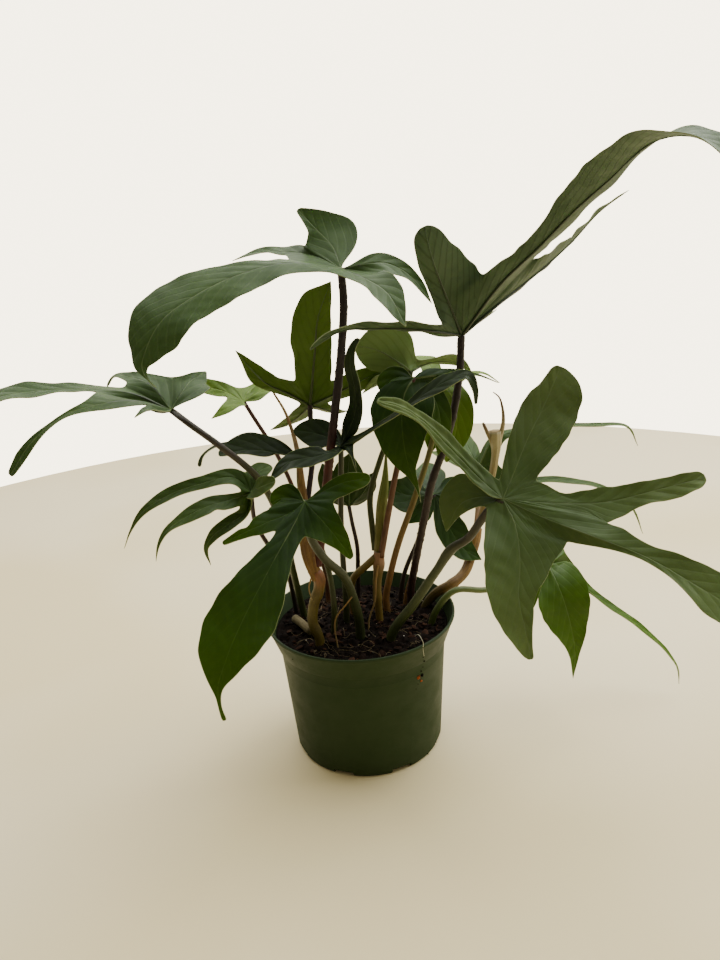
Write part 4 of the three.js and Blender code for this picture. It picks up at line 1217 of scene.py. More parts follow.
    def add_to(self, mesh: Mesh) -> list[Vert]:
        """Adds the lobe's sheet to a mesh.

        Args:
            mesh: a mesh with the pattern layers.

        Returns:
            The vertices on the seams with its neighbours.
        """
        half = len(self.STATIONS) - 1
        row_count = self.SEAM_ROWS + self.rows
        verts = bmesh.ops.create_grid(
            mesh, x_segments=2 * half, y_segments=row_count, size=0.5)["verts"]
        values: dict[Vert, tuple[float, float, float, float]] = {}
        seams = []
        for vert in verts:
            column = round(vert.co.x * 2 * half)
            row = round((vert.co.y + 0.5) * row_count)
            if row <= self.SEAM_ROWS:
                u = self.joined * row / self.SEAM_ROWS
            else:
                left = 1 - (row - self.SEAM_ROWS) / self.rows
                u = 1 - (1 - self.joined) * left ** self.TIP_DENSITY
            sign = 1 if column < 0 else -1
            vert.co, width = self._place(u, sign, abs(column))
            share = self.STATIONS[abs(column)]
            margin = (1 - share) * width
            if u < self.joined and self.webs[sign] is not None:
                margin = math.hypot(margin, (self.joined - u) * self.rib.length)
                if abs(column) == half:
                    seams.append(vert)
            across = -sign * share * width
            values[vert] = (across / MM, u * self.rib.length / MM, margin / MM, u)
        pattern = mesh.loops.layers.uv[PATTERN]
        reach = mesh.loops.layers.uv[REACH]
        for face in {face for vert in verts for face in vert.link_faces}:
            for loop in face.loops:
                loop[pattern].uv = values[loop.vert][:2]
                loop[reach].uv = values[loop.vert][2:]
        return seams

    def _place(self, u: float, sign: int, station: int) -> tuple[Vector, float]:
        """Places a station of one wing.

        Args:
            u: share along, 0 to 1.
            sign: 1 for the left wing, -1 for the right.
            station: which of STATIONS.

        Returns:
            The place and the width in metres.
        """
        share = self.STATIONS[station]
        _, up = self.axes(u)
        edge = self.edge(u, sign)
        width = edge.length
        place = self.rib.at(u) + edge * share
        place -= up * (math.sin(self.cup) * width * (share - share ** self.BOW))
        narrow = min(1.0, width / self.NARROW)
        place -= up * (self.GROOVE[station] * self.GROOVE_DEPTH * narrow * max(0.0, 1 - u) ** 0.5)
        free = smooth(self.joined, min(self.WAVE_FULL, self.joined + self.WAVE_RISE), u)
        turn = 2 * math.pi * u * self.rib.length / self.wave + self.phases[sign]
        place += up * (self.WAVE_HEIGHT * narrow * free * share ** 2 * math.sin(turn))
        place += up * (self._pleat(u, share * width / MM) * narrow * share * (1 - share))
        place += up * (self.furrows * free * math.sin(self.FURROW_TURNS * 2 * math.pi * share))
        return place, width

    def _pleat(self, u: float, across: float) -> float:
        """Height of the blade's bulge between two side veins, in metres."""
        phase = u * self.rib.length / MM - VEIN_LEAN * across - VEIN_BEND * across ** 2
        return -4 * self.PLEAT_HEIGHT * math.cos(2 * math.pi * phase / VEIN_SPACING)


LEAVES: dict[str, Leaf] = {
    "crown_left": Leaf.of(
        CROWN, (341, 269, -10), (0.1, -0.55, 0.83),
        [(304, 246, 15), (288, 260, -8), (330, 272, -24), (388, 274, -20)],
        Lobe([(333, 247, 8), (315, 228, 22), (297, 209, 24)],
             [6, 9, 11, 6, 2], [6, 22, 27, 17, 2], (0, -0.75, 0.6)),
        Lobe([(318, 257, 5), (285, 252, 30), (255, 253, 45), (232, 261, 45)],
             [6, 9, 8, 5, 0], [6, 11, 11, 7, 0], (0, -0.35, 1)),
        Lobe([(287, 263, -25), (238, 275, -48), (193, 297, -66), (160, 323, -78),
              (146, 350, -84), (142, 368, -87), (148, 380, -91), (157, 388, -94)],
             [5, 5, 5, 7, 9, 12, 15, 17, 18, 18, 18, 19, 20, 18, 10, 1.6, 0],
             [3, 3, 3, 3, 4, 8, 12, 16, 19, 22, 25, 26, 25, 20, 11, 1.6, 0],
             (-0.1, -0.75, 0.65), cup=-6),
        Lobe([(366, 279, -35), (389, 295, -62), (406, 327, -84)],
             [6, 9, 12, 13, 11, 6, 0], [6, 4, 6, 8, 10, 7, 0], (0.1, -0.85, 0.5)),
        Lobe([(364, 264, -13), (386, 263, -9), (404, 271, -6), (418, 284, -4),
              (432, 304, -4)],
             [1, 7, 9, 8, 6, 4, 0], [10, 10, 12, 9, 5, 3, 0], (0.25, -0.75, 0.6)),
    ),
    "crown_right": Leaf.of(
        CROWN, (461, 335, 10), (-0.5, 0.55, 0.62),
        [(444, 325, -6), (483, 275, -6), (534, 257, 30), (476, 324, 30)],
        Lobe([(430, 330, -12), (380, 328, -32), (335, 333, -48), (310, 350, -54)],
             [4, 7, 9, 10, 9, 7, 3], [6, 9, 9, 7, 5, 4, 2], (0.1, 0.5, 0.85)),
        Lobe([(452, 312, 2), (440, 282, -12), (430, 252, -28), (424, 226, -36)],
             [27, 29, 33, 29, 23, 16, 9], [8, 9, 10, 10, 11, 11, 8], (-0.3, 0.75, 0.35),
             bites=[(0.3, -2.5, 4), (0.22, -3, 3)]),
        Lobe([(502, 281, 2), (539, 246, -6), (573, 211, -16), (608, 180, -30),
              (654, 141, -52), (690, 135, -71), (722, 149, -86), (752, 180, -98)],
             [12, 13, 14, 15, 18, 21, 21, 19, 17, 12, 0],
             [4, 5, 6, 7, 13, 25, 30, 27, 19, 12, 0],
             (-0.42, 0.7, 0.55), (0.22, -0.6, 0.75), cup=13, turn=1.8,
             bites=[(0.235, -2.5, 3.5), (0.268, -2, 3), (0.3, -3.5, 4.5), (0.34, -2, 4),
                    (0.33, 3, 6)]),
        Lobe([(495, 306, 22), (520, 286, 42), (547, 264, 60), (573, 240, 76),
              (600, 211, 88), (629, 190, 96)],
             [12, 15, 17, 14, 8, 2, 0], [12, 20, 27, 26, 19, 9, 0], (-0.6, 0.35, 0.7),
             cup=3,
             bites=[(0.62, -6, 5), (0.2, -2.5, 5)]),
        Lobe([(474, 325, 40), (486, 317, 62), (496, 310, 76)],
             [5, 8, 8, 6, 2], None, (-0.4, 0.35, 0.85)),
    ),
    "far_left": Leaf.of(
        CROWN, (171, 410, -50), (-0.1, -0.5, 0.86),
        [(172, 378, -26), (123, 388, -36), (96, 392, -70), (150, 404, -70)],
        Lobe([(182, 392, -40), (192, 380, -26), (206, 372, -12)],
             [6, 9, 7, 5, 1], [6, 18, 19, 12, 1], (0.1, -0.85, 0.5), bites=[(0.75, -3, 4)]),
        Lobe([(152, 386, -38), (128, 377, -20), (113, 377, -8), (107, 387, -6)],
             [6, 8, 7, 4, 1.5], [6, 10, 8, 4, 1.5], (0, -0.4, 0.9)),
        Lobe([(135, 394, -58), (95, 389, -64), (50, 390, -72), (0, 397, -80),
              (-45, 418, -86)],
             [6, 8, 5, 8, 12, 10, 0], None, (0.1, -0.25, 0.98)),
        Lobe([(140, 401, -66), (100, 404, -86), (66, 415, -100), (34, 440, -112),
              (10, 476, -118)],
             [6, 8, 10, 9, 7, 4, 2, 2, 3.5, 4, 2.5], [6, 9, 12, 11, 8, 4, 2, 2, 3.5, 4, 2.5],
             (0, -0.75, 0.65)),
        Lobe([(160, 412, -66), (145, 410, -80), (134, 418, -86)],
             [4, 7, 6, 4, 0], None, (0, -0.3, 0.95)),
    ),
    "upright": Leaf.of(
        FRESH_BACKLIT, (310, 405, 30), (0, 0.93, 0.35),
        [(303, 403, 34), (295, 381, 25), (331, 381, 25), (325, 402, 38)],
        Lobe([(300, 415, 45), (285, 425, 60), (270, 430, 70)],
             [4, 8, 8, 5, 0], None, (0, 0.6, 0.8)),
        Lobe([(290, 394, 32), (266, 383, 30), (250, 368, 28), (235, 350, 24)],
             [10, 11, 10, 10, 8, 5, 0], [3, 4, 5, 7, 8, 3, 0], (-0.2, 0.85, 0.45)),
        Lobe([(312, 385, 26), (315, 352, 18), (318, 318, 8), (331, 281, -4)],
             [12, 13, 14, 13, 11, 7, 0], [14, 15, 17, 21, 20, 16, 0], (0.1, 0.97, 0.1)),
        Lobe([(330, 396, 32), (352, 385, 34), (372, 375, 34), (392, 368, 32)],
             [5, 10, 11, 8, 0], None, (0.2, 0.85, 0.45)),
        Lobe([(325, 409, 44), (338, 413, 56), (350, 410, 66)],
             [4, 6, 7, 5, 0], None, (0, 0.5, 0.9)),
    ),
    "back_left": Leaf.of(
        FRESH_BACKLIT, (244, 402, 60), (0, -0.8, 0.6),
        [(250, 392, 72), (236, 388, 68), (228, 396, 54)],
        Lobe([(255, 394, 66), (266, 389, 74), (276, 388, 84)],
             [4, 9, 9, 6, 0], None, (0, -0.5, 0.85)),
        Lobe([(247, 393, 72), (256, 386, 84), (266, 380, 92)],
             [4, 5, 5, 4, 0], None, (0, -0.3, 0.9)),
        Lobe([(226, 392, 60), (208, 387, 60), (190, 384, 60), (172, 384, 58)],
             [5, 8, 8, 6, 0], None, (0.1, -0.75, 0.65)),
        Lobe([(236, 404, 48), (228, 408, 38), (211, 419, 28)],
             [4, 8, 7, 4, 0], None, (-0.3, -0.8, 0.5)),
    ),
    "centre_hanging": Leaf.of(
        DEEP, (413, 378, -14), (0, -0.75, 0.66),
        [(388, 382, -12), (431, 381, -8), (432, 378, -8)],
        Lobe([(399, 377, -9), (388, 382, -8), (380, 391, -10)],
             [6, 10, 11, 9, 4], None, (-0.1, -0.7, 0.7)),
        Lobe([(405, 392, -20), (402, 412, -27), (403, 438, -32), (408, 464, -35),
              (417, 487, -37), (421, 503, -38)],
             [14, 22, 25, 23, 17, 11, 4, 1.5, 0], [16, 23, 25, 23, 19, 13, 5, 1.5, 0],
             (-0.15, -0.9, 0.35)),
        Lobe([(428, 388, -8), (437, 404, -10), (441, 430, -12), (438, 456, -12)],
             [4, 8, 10, 8, 0], None, (0.3, -0.8, 0.5)),
        Lobe([(432, 375, -10), (452, 373, -8), (478, 375, -6), (499, 383, -4)],
             [5, 7, 4, 1.5, 0], None, (0, -0.4, 0.9)),
    ),
    "centre_back": Leaf.of(
        FRESH_BACKLIT, (438, 380, 60), (0.1, -0.7, 0.7),
        [(426, 378, 60), (441, 392, 54), (460, 384, 64)],
        Lobe([(430, 366, 75), (424, 358, 95), (416, 356, 115)],
             [4, 9, 9, 6, 1], None, (0, -0.1, 0.99)),
        Lobe([(432, 400, 48), (434, 425, 42), (430, 455, 38)],
             [5, 12, 13, 9, 0], None, (-0.1, -0.9, 0.4)),
        Lobe([(450, 393, 54), (457, 413, 50), (455, 436, 46), (446, 462, 42)],
             [6, 13, 15, 11, 1], None, (0.1, -0.95, 0.3)),
        Lobe([(455, 378, 70), (470, 373, 88), (486, 374, 104), (500, 383, 110)],
             [5, 6, 4, 2.5, 1.5, 0], None, (0, -0.5, 0.85)),
    ),
    "front_right": Leaf.of(
        SATIN, (503, 499, -85), (0, -0.66, 0.75),
        [(487, 506, -86), (569, 543, -112), (612, 524, -112), (534, 481, -78),
         (500, 482, -76)],
        Lobe([(480, 497, -72), (462, 503, -64), (446, 532, -66)],
             [7, 8, 8, 9, 7, 3, 0], [10, 11, 12, 22, 17, 9, 0], (-0.2, -0.75, 0.6)),
        Lobe([(514, 522, -98), (520, 560, -116), (519, 600, -132), (526, 632, -142),
              (531, 660, -150)],
             [19, 21, 28, 22, 14, 9, 4, 2], [18, 20, 25, 26, 24, 19, 13, 3],
             (0, -0.85, 0.5)),
        Lobe([(545, 518, -100), (590, 535, -118), (648, 558, -136), (692, 583, -150),
              (735, 610, -162), (775, 648, -172)],
             [10, 11, 11, 12, 9, 14, 17, 12, 0], [3, 4, 8, 4, 3, 6, 15, 12, 0],
             (0.1, -0.8, 0.6)),
        Lobe([(550, 503, -92), (605, 502, -98), (660, 489, -104), (706, 477, -108)],
             [8, 10, 15, 15, 8, 9, 11, 10, 9, 8, 7, 6.5, 5],
             [10, 11, 13, 16, 9, 10, 6], (0, -0.75, 0.65), bites=[(0.4, 8, 5), (0.46, 3, 8)]),
        Lobe([(515, 470, -72), (528, 438, -59), (543, 408, -46), (554, 383, -38),
              (561, 366, -32)],
             [13, 14, 13, 13.5, 15.5, 15, 9, 6], [15, 17, 20, 24, 26, 26, 23, 15],
             (-0.1, -0.85, 0.45)),
        Lobe([(480, 479, -76), (449, 448, -78), (421, 421, -86), (400, 408, -94),
              (377, 402, -100)],
             [5, 8, 11, 12, 11, 10, 8, 4], [5, 8, 11, 12, 11, 10, 8, 4],
             (0.15, -0.45, 0.88), furrows=1.3),
    ),
    "low_right": Leaf.of(
        GLOSS, (548, 565, 30), (0.15, -0.65, 0.75),
        [(542, 580, 22), (567, 560, 36), (566, 552, 44)],
        Lobe([(535, 575, 20), (528, 600, 10), (526, 625, 4)], [5, 9, 9, 6, 0]),
        Lobe([(560, 590, 12), (570, 622, 4), (575, 650, 0), (573, 679, -2)],
             [12, 22, 25, 22, 17, 11, 5, 2, 0], [14, 22, 25, 24, 20, 13, 7, 3, 0],
             (0, -0.9, 0.4)),
        Lobe([(565, 574, 40), (585, 588, 37), (600, 599, 33), (624, 615, 28),
              (650, 635, 22), (668, 653, 17), (678, 669, 14), (679, 684, 12)],
             [3, 4, 4.5, 4.5, 4.5, 4, 3, 1.5, 0], None, (0.35, -0.4, 0.85)),
        Lobe([(552, 550, 46), (556, 538, 62), (560, 528, 76)], [4, 8, 8, 5, 0]),
    ),
    "back_right": Leaf.of(
        SLENDER, (478, 470, 90), (0.1, -0.45, 0.9),
        [(498, 465, 90), (480, 454, 102), (468, 458, 104)],
        Lobe([(500, 480, 84), (560, 480, 80), (603, 488, 76), (632, 508, 72),
              (643, 534, 70)],
             [4, 4.5, 4.5, 4, 2.5, 0], None, (0.2, -0.35, 0.9)),
        Lobe([(492, 441, 96), (545, 428, 100), (598, 425, 104), (628, 427, 106),
              (638, 446, 106)],
             [4, 4.5, 4, 3.5, 3, 3, 2, 0], None, (0, -0.4, 0.9)),
        Lobe([(472, 455, 116), (463, 437, 146), (457, 420, 185)], [4, 8, 9, 6, 0]),
        Lobe([(462, 462, 105), (445, 455, 125), (430, 452, 140)], [5, 10, 10, 7, 0]),
    ),
    "front_left": Leaf.of(
        DEEP, (305, 502, -74), (-0.1, -0.82, 0.56),
        [(264, 510, -76), (277, 530, -90), (304, 536, -92), (332, 501, -78)],
        Lobe([(292, 498, -68), (281, 498, -67), (271, 504, -69)],
             [4, 9, 11, 8, 4], None, (0, -0.85, 0.5)),
        Lobe([(290, 513, -78), (268, 522, -84), (246, 532, -90), (222, 544, -94)],
             [7, 8, 8, 8, 7, 4.5, 3, 1.5], [4, 5, 6, 7, 7, 4.5, 3, 1.5],
             (0, -0.85, 0.5), bites=[(0.68, -2.5, 5)]),
        Lobe([(292, 528, -90), (278, 553, -104), (262, 583, -118), (242, 622, -132),
              (226, 660, -144), (218, 690, -150), (220, 708, -154), (225, 721, -156)],
             [9, 9, 10, 15, 21, 24, 20, 11, 2.4, 1.5], [8, 8, 9, 15, 20, 24, 24, 17, 2.4, 1.5],
             (-0.1, -0.85, 0.5)),
        Lobe([(318, 516, -84), (333, 533, -90), (352, 559, -96)],
             [12, 14, 15, 12, 10, 8, 5, 2], [13, 14, 15, 15, 11, 7, 4, 2],
             (0.1, -0.85, 0.5)),
        Lobe([(322, 492, -70), (345, 482, -70), (371, 478, -72)],
             [1.5, 2, 3, 5, 6, 6, 5, 4], [9, 10, 10, 10, 10, 9, 7, 4], (0, -0.85, 0.5)),
    ),
    "centre_dark": Leaf.of(
        SHADE, (341, 446, -10), (0, -0.6, 0.8),
        [(345, 451, -18), (354, 444, -19), (350, 437, -13), (342, 438, -5)],
        Lobe([(337, 450, -24), (329, 453, -38), (313, 457, -43), (290, 462, -46),
              (271, 479, -50)],
             [4, 5, 8, 9, 9, 7, 1.5], None, (-0.35, -0.6, 0.75)),
        Lobe([(349, 449, -26), (353, 458, -32), (355, 466, -36), (357, 474, -38)],
             [4, 6, 4, 1.4, 0.9, 0], None, (0.1, -0.8, 0.5)),
        Lobe([(356, 439, -28), (376, 427, -42), (402, 410, -54), (428, 392, -60),
              (450, 380, -64), (468, 376, -67), (475, 389, -68), (476, 404, -67)],
             [4, 3.5, 3, 2.5, 2.5, 3, 4, 6, 8, 6, 3, 1], None, (0, -0.5, 0.85)),
        Lobe([(349, 430, -15), (356, 408, -14), (354, 385, -14), (350, 362, -15),
              (353, 347, -16), (359, 338, -16)],
             [3, 7, 8, 6, 5, 5, 4, 2], [3, 9, 8, 7, 6, 5, 4, 2], (-0.5, -0.8, 0.3)),
        Lobe([(335, 440, 0), (324, 436, 8), (309, 432, 12), (293, 431, 13)],
             [3, 7, 12, 13, 10, 2], None, (0, -0.85, 0.5)),
    ),
    "left_middle": Leaf.of(
        SHADE, (299, 456, 14), (0, -0.6, 0.8),
        [(281, 448, 15)],
        Lobe([(277, 453, 6), (250, 450, -4), (218, 455, -14)],
             [5, 6, 6, 5, 3, 2], [5, 11, 14, 15, 12, 3], (0, -0.75, 0.65)),
        Lobe([(278, 449, 24), (240, 443, 34), (214, 447, 40), (202, 457, 42),
              (199, 467, 42)],
             [3, 4, 3, 2, 1.6, 2], None, (0, -0.5, 0.85)),
    ),
    "left_low": Leaf.of(
        SLENDER, (251, 492, -38), (-0.1, -0.6, 0.8),
        [(246, 473, -35), (244, 492, -48), (240, 506, -50), (253, 499, -45)],
        Lobe([(254, 480, -32), (260, 471, -24), (272, 466, -14)],
             [4, 8, 9, 7, 2], None, (0, -0.6, 0.8)),
        Lobe([(235, 478, -40), (200, 484, -48), (165, 497, -54), (142, 513, -60),
              (131, 530, -62), (124, 549, -62)],
             [3, 4, 5, 5, 5, 3, 1, 0], [4, 5, 6, 6, 6, 3.5, 1, 0], (0, -0.65, 0.75)),
        Lobe([(232, 499, -52), (208, 506, -64), (183, 519, -74), (164, 534, -82),
              (158, 547, -84), (156, 562, -84)],
             [4, 6, 9, 8, 6, 3, 1.2, 0], [4, 6, 7, 7, 6, 3, 1.2, 0], (0, -0.6, 0.8),
             bites=[(0.36, 3.5, 4)]),
        Lobe([(247, 511, -44), (232, 522, -46), (214, 535, -48), (206, 548, -48),
              (211, 566, -48)],
             [5, 6, 6, 5, 2, 0], None, (0, -0.7, 0.7)),
        Lobe([(252, 491, -56), (258, 488, -68), (268, 484, -77), (276, 481, -82)],
             [3, 6, 7.5, 7, 4], None, (-0.1, -0.8, 0.6)),
    ),
    "centre_round": Leaf.of(
        ROUND, (411, 371, 16), (-0.2, 0.75, 0.6),
        [(394, 372, 20), (415, 362, 22)],
        Lobe([(395, 375, 26), (378, 382, 36), (362, 394, 42)],
             [4, 9, 9, 6, 0], None, (0, 0.4, 0.9)),
        Lobe([(398, 362, 14), (380, 351, 12), (356, 345, 9)],
             [12, 19, 23, 24, 23, 21, 18, 13], [6, 9, 13, 17, 19, 19, 17, 13],
             (-0.3, 0.85, 0.4)),
        Lobe([(424, 364, 28), (440, 361, 40), (456, 362, 50), (472, 372, 58)],
             [5, 10, 11, 8, 0], None, (0, 0.5, 0.85)),
    ),
    "inner_right": Leaf.of(
        INNER, (434, 494, 48), (0, -0.55, 0.85),
        [(418, 503, 41), (434, 508, 41), (446, 497, 46), (440, 486, 56)],
        Lobe([(420, 496, 42), (400, 493, 38), (382, 482, 36)],
             [6, 16, 18, 12, 0], None, (0, -0.8, 0.55)),
        Lobe([(427, 506, 42), (417, 514, 38), (406, 524, 34)],
             [6, 13, 13, 7, 0], None, (0, -0.85, 0.5)),
        Lobe([(442, 512, 40), (452, 532, 34), (464, 549, 30), (482, 560, 28)],
             [6, 11, 14, 11, 0], None, (0, -0.75, 0.65)),
        Lobe([(448, 490, 52), (460, 485, 56), (472, 486, 58)],
             [6, 11, 12, 8, 0], None, (0, -0.6, 0.8)),
        Lobe([(432, 482, 66), (428, 470, 84), (424, 462, 104)], [6, 13, 14, 9, 0]),
    ),
    "inner_left": Leaf.of(
        INNER, (349, 506, 46), (0, 0.75, 0.65),
        [(344, 494, 50), (354, 494, 50)],
        Lobe([(338, 496, 52), (328, 480, 58), (322, 463, 62)],
             [5, 12, 13, 9, 0], None, (0, 0.85, 0.5)),
        Lobe([(349, 490, 52), (348, 472, 56), (350, 452, 58)],
             [5, 13, 15, 11, 0], None, (0, 0.9, 0.4)),
        Lobe([(358, 498, 52), (366, 488, 56), (374, 472, 58)],
             [5, 11, 12, 8, 0], None, (0, 0.85, 0.5)),
    ),
}


# ---- stems and stalks


WARTY_RED = StalkSkin("stalk_skin_warty_purple_red", "5a2418", "1f1114", "140b0e",
                      "43332e", 0.48, 0.5, 0.4, 0.25, 0.6)
WARTY = StalkSkin("stalk_skin_warty_purple", "301512", "1e1113", "130b0d", "43332e", 0.48)
PURPLE = StalkSkin("stalk_skin_purple", "2c2418", "2a1618", "190e10", "4a3e30", 0.46)
RED_BROWN = StalkSkin("stalk_skin_red_brown", "6b4426", "451f16", "301810", "6f5238", 0.46)
OLIVE = StalkSkin("stalk_skin_olive", "3c4118", "434c1e", "2c3315", "646a3c", 0.44)
DARK_OLIVE = StalkSkin("stalk_skin_dark_olive", "333b17", "2a3015", "20260f", "555a32", 0.44)
OLIVE_PURPLE = StalkSkin("stalk_skin_olive_purple", "3a451d", "2a1b16", "2d3416", "575c36",
                         0.46, turn_low=0.45, turn_high=0.85)
FRESH = StalkSkin("stalk_skin_fresh_green", "4a581c", "56681f", "3b4917", "757f40", 0.42)
GOLD = StalkSkin("stem_skin_golden", "665a1d", "8a5636", "46391a", "94814a", 0.5,
                 turn_low=0.7, turn_high=0.97)
GOLD_FIBRE = StalkSkin("stem_fibre_golden", "474a1a", "85652f", "51391c", "9c8548", 0.55,
                       0.75, turn_low=0.1, turn_high=0.6)
TAN_GREEN = StalkSkin("stem_skin_tan_green", "6b5c22", "a0745a", "5c4a24", "a08c5c", 0.5,
                      turn_low=0.7, turn_high=0.95)
TAN = StalkSkin("stalk_skin_tan", "8a6338", "5f6427", "574220", "a2874f", 0.5)
PAPER = StalkSkin("sheath_dry_papery", "80602c", "85692f", "54381a", "a08a50", 0.7, 0.8)
CREAM = StalkSkin("sheath_dry_cream", "8b7445", "b5ac88", "837650", "c8bf98", 0.66, 0.5,
                  0.2, 0.4, 0.9)
CREAM_HORN = StalkSkin("sheath_dry_brown_horn", "a89c76", "5c3f2c", "6e5b3e", "b5a884", 0.66,
                       0.6, 0.2, 0.2, 0.9)
PALE = StalkSkin("sheath_fresh_pale", "6f6220", "657024", "4b5a1c", "8f9350", 0.55, 0.5)
STRAW = StalkSkin("stem_dry_straw", "6a6140", "746a48", "453a22", "8a7f58", 0.85, 0.7)
ROOT = StalkSkin("air_root_matt", "8e7040", "9a8455", "6b532e", "b09c6c", 0.85, 0.5)
ROOTLET = StalkSkin("rootlet_fine", "7a6c4e", "6b5c3c", "4a3f28", speck_share=0.0,
                    roughness=0.8)
WHITE_ROOTLET = StalkSkin("rootlet_fresh_white", "c4c3ae", "d2d0bd", "a8a68e",
                          speck_share=0.0, roughness=0.7)


@dataclass
class Stalk:
    """A stem, leaf stalk, sheath or root from its foot to its top.

    Radii are in millimetres. The path's places are column, row and depth as seen from the
    viewpoint; buried and sunk places before and after it are in millimetres. Nodes are
    swellings: share along it, height in millimetres and share that they take up.
    """

    foot: float
    top: float
    skin: StalkSkin
    slot: Slot
    path: Sequence[Place] = ()
    buried: Sequence[Place] = ()
    sunk: Sequence[Place] = ()
    nodes: Sequence[tuple[float, float, float]] = ()
    warts: float = 0.0
    ridges: int = 0
    ridge_height: float = 0.0
    flatness: float = 1.0
    sides: int = 16

    def line(self) -> Rib:
        """The curve that it follows."""
        return Rib([*(Vector(place) * MM for place in self.buried),
                    *(VIEW.seen(place) for place in self.path),
                    *(Vector(place) * MM for place in self.sunk)])

    def radius(self, u: float) -> float:
        """Radius at u, with its nodes.

        Args:
            u: share along, 0 to 1.

        Returns:
            The radius in metres.
        """
        radius = self.foot + (self.top - self.foot) * u
        for at, height, width in self.nodes:
            radius += height * math.exp(-(((u - at) / width) ** 2))
        return radius * MM

    def tube(self, material: int) -> Tube:
        """The rod that it is made of, with its skin's place among the piece's materials."""
        step = 1.3 * MM if self.warts else 3 * MM
        return Tube(self.line(), self.radius, self.sides, step, material, self.ridges,
                    self.ridge_height, self.warts, flatness=self.flatness)


JUNCTION_REACH = 14 * MM
JUNCTION_DROP = 0.2 * MM


def trim(mesh: Mesh, leaf: Leaf) -> None:
    """Cuts a stalk's top off flush under its leaf's junction.

    Args:
        mesh: the stalk's mesh.
        leaf: the leaf that it carries.
    """
    junction = VIEW.seen(leaf.junction)
    face = Vector(leaf.face).normalized()
    verts = [vert for vert in mesh.verts if (vert.co - junction).length < JUNCTION_REACH]
    edges = {edge for vert in verts for edge in vert.link_edges}
    faces = {face_ for vert in verts for face_ in vert.link_faces}
    bmesh.ops.bisect_plane(
        mesh, geom=[*verts, *edges, *faces], plane_co=junction - face * JUNCTION_DROP,
        plane_no=face, clear_outer=True)
    open_edges = [edge for edge in mesh.edges if edge.is_boundary]
    bmesh.ops.holes_fill(mesh, edges=open_edges)


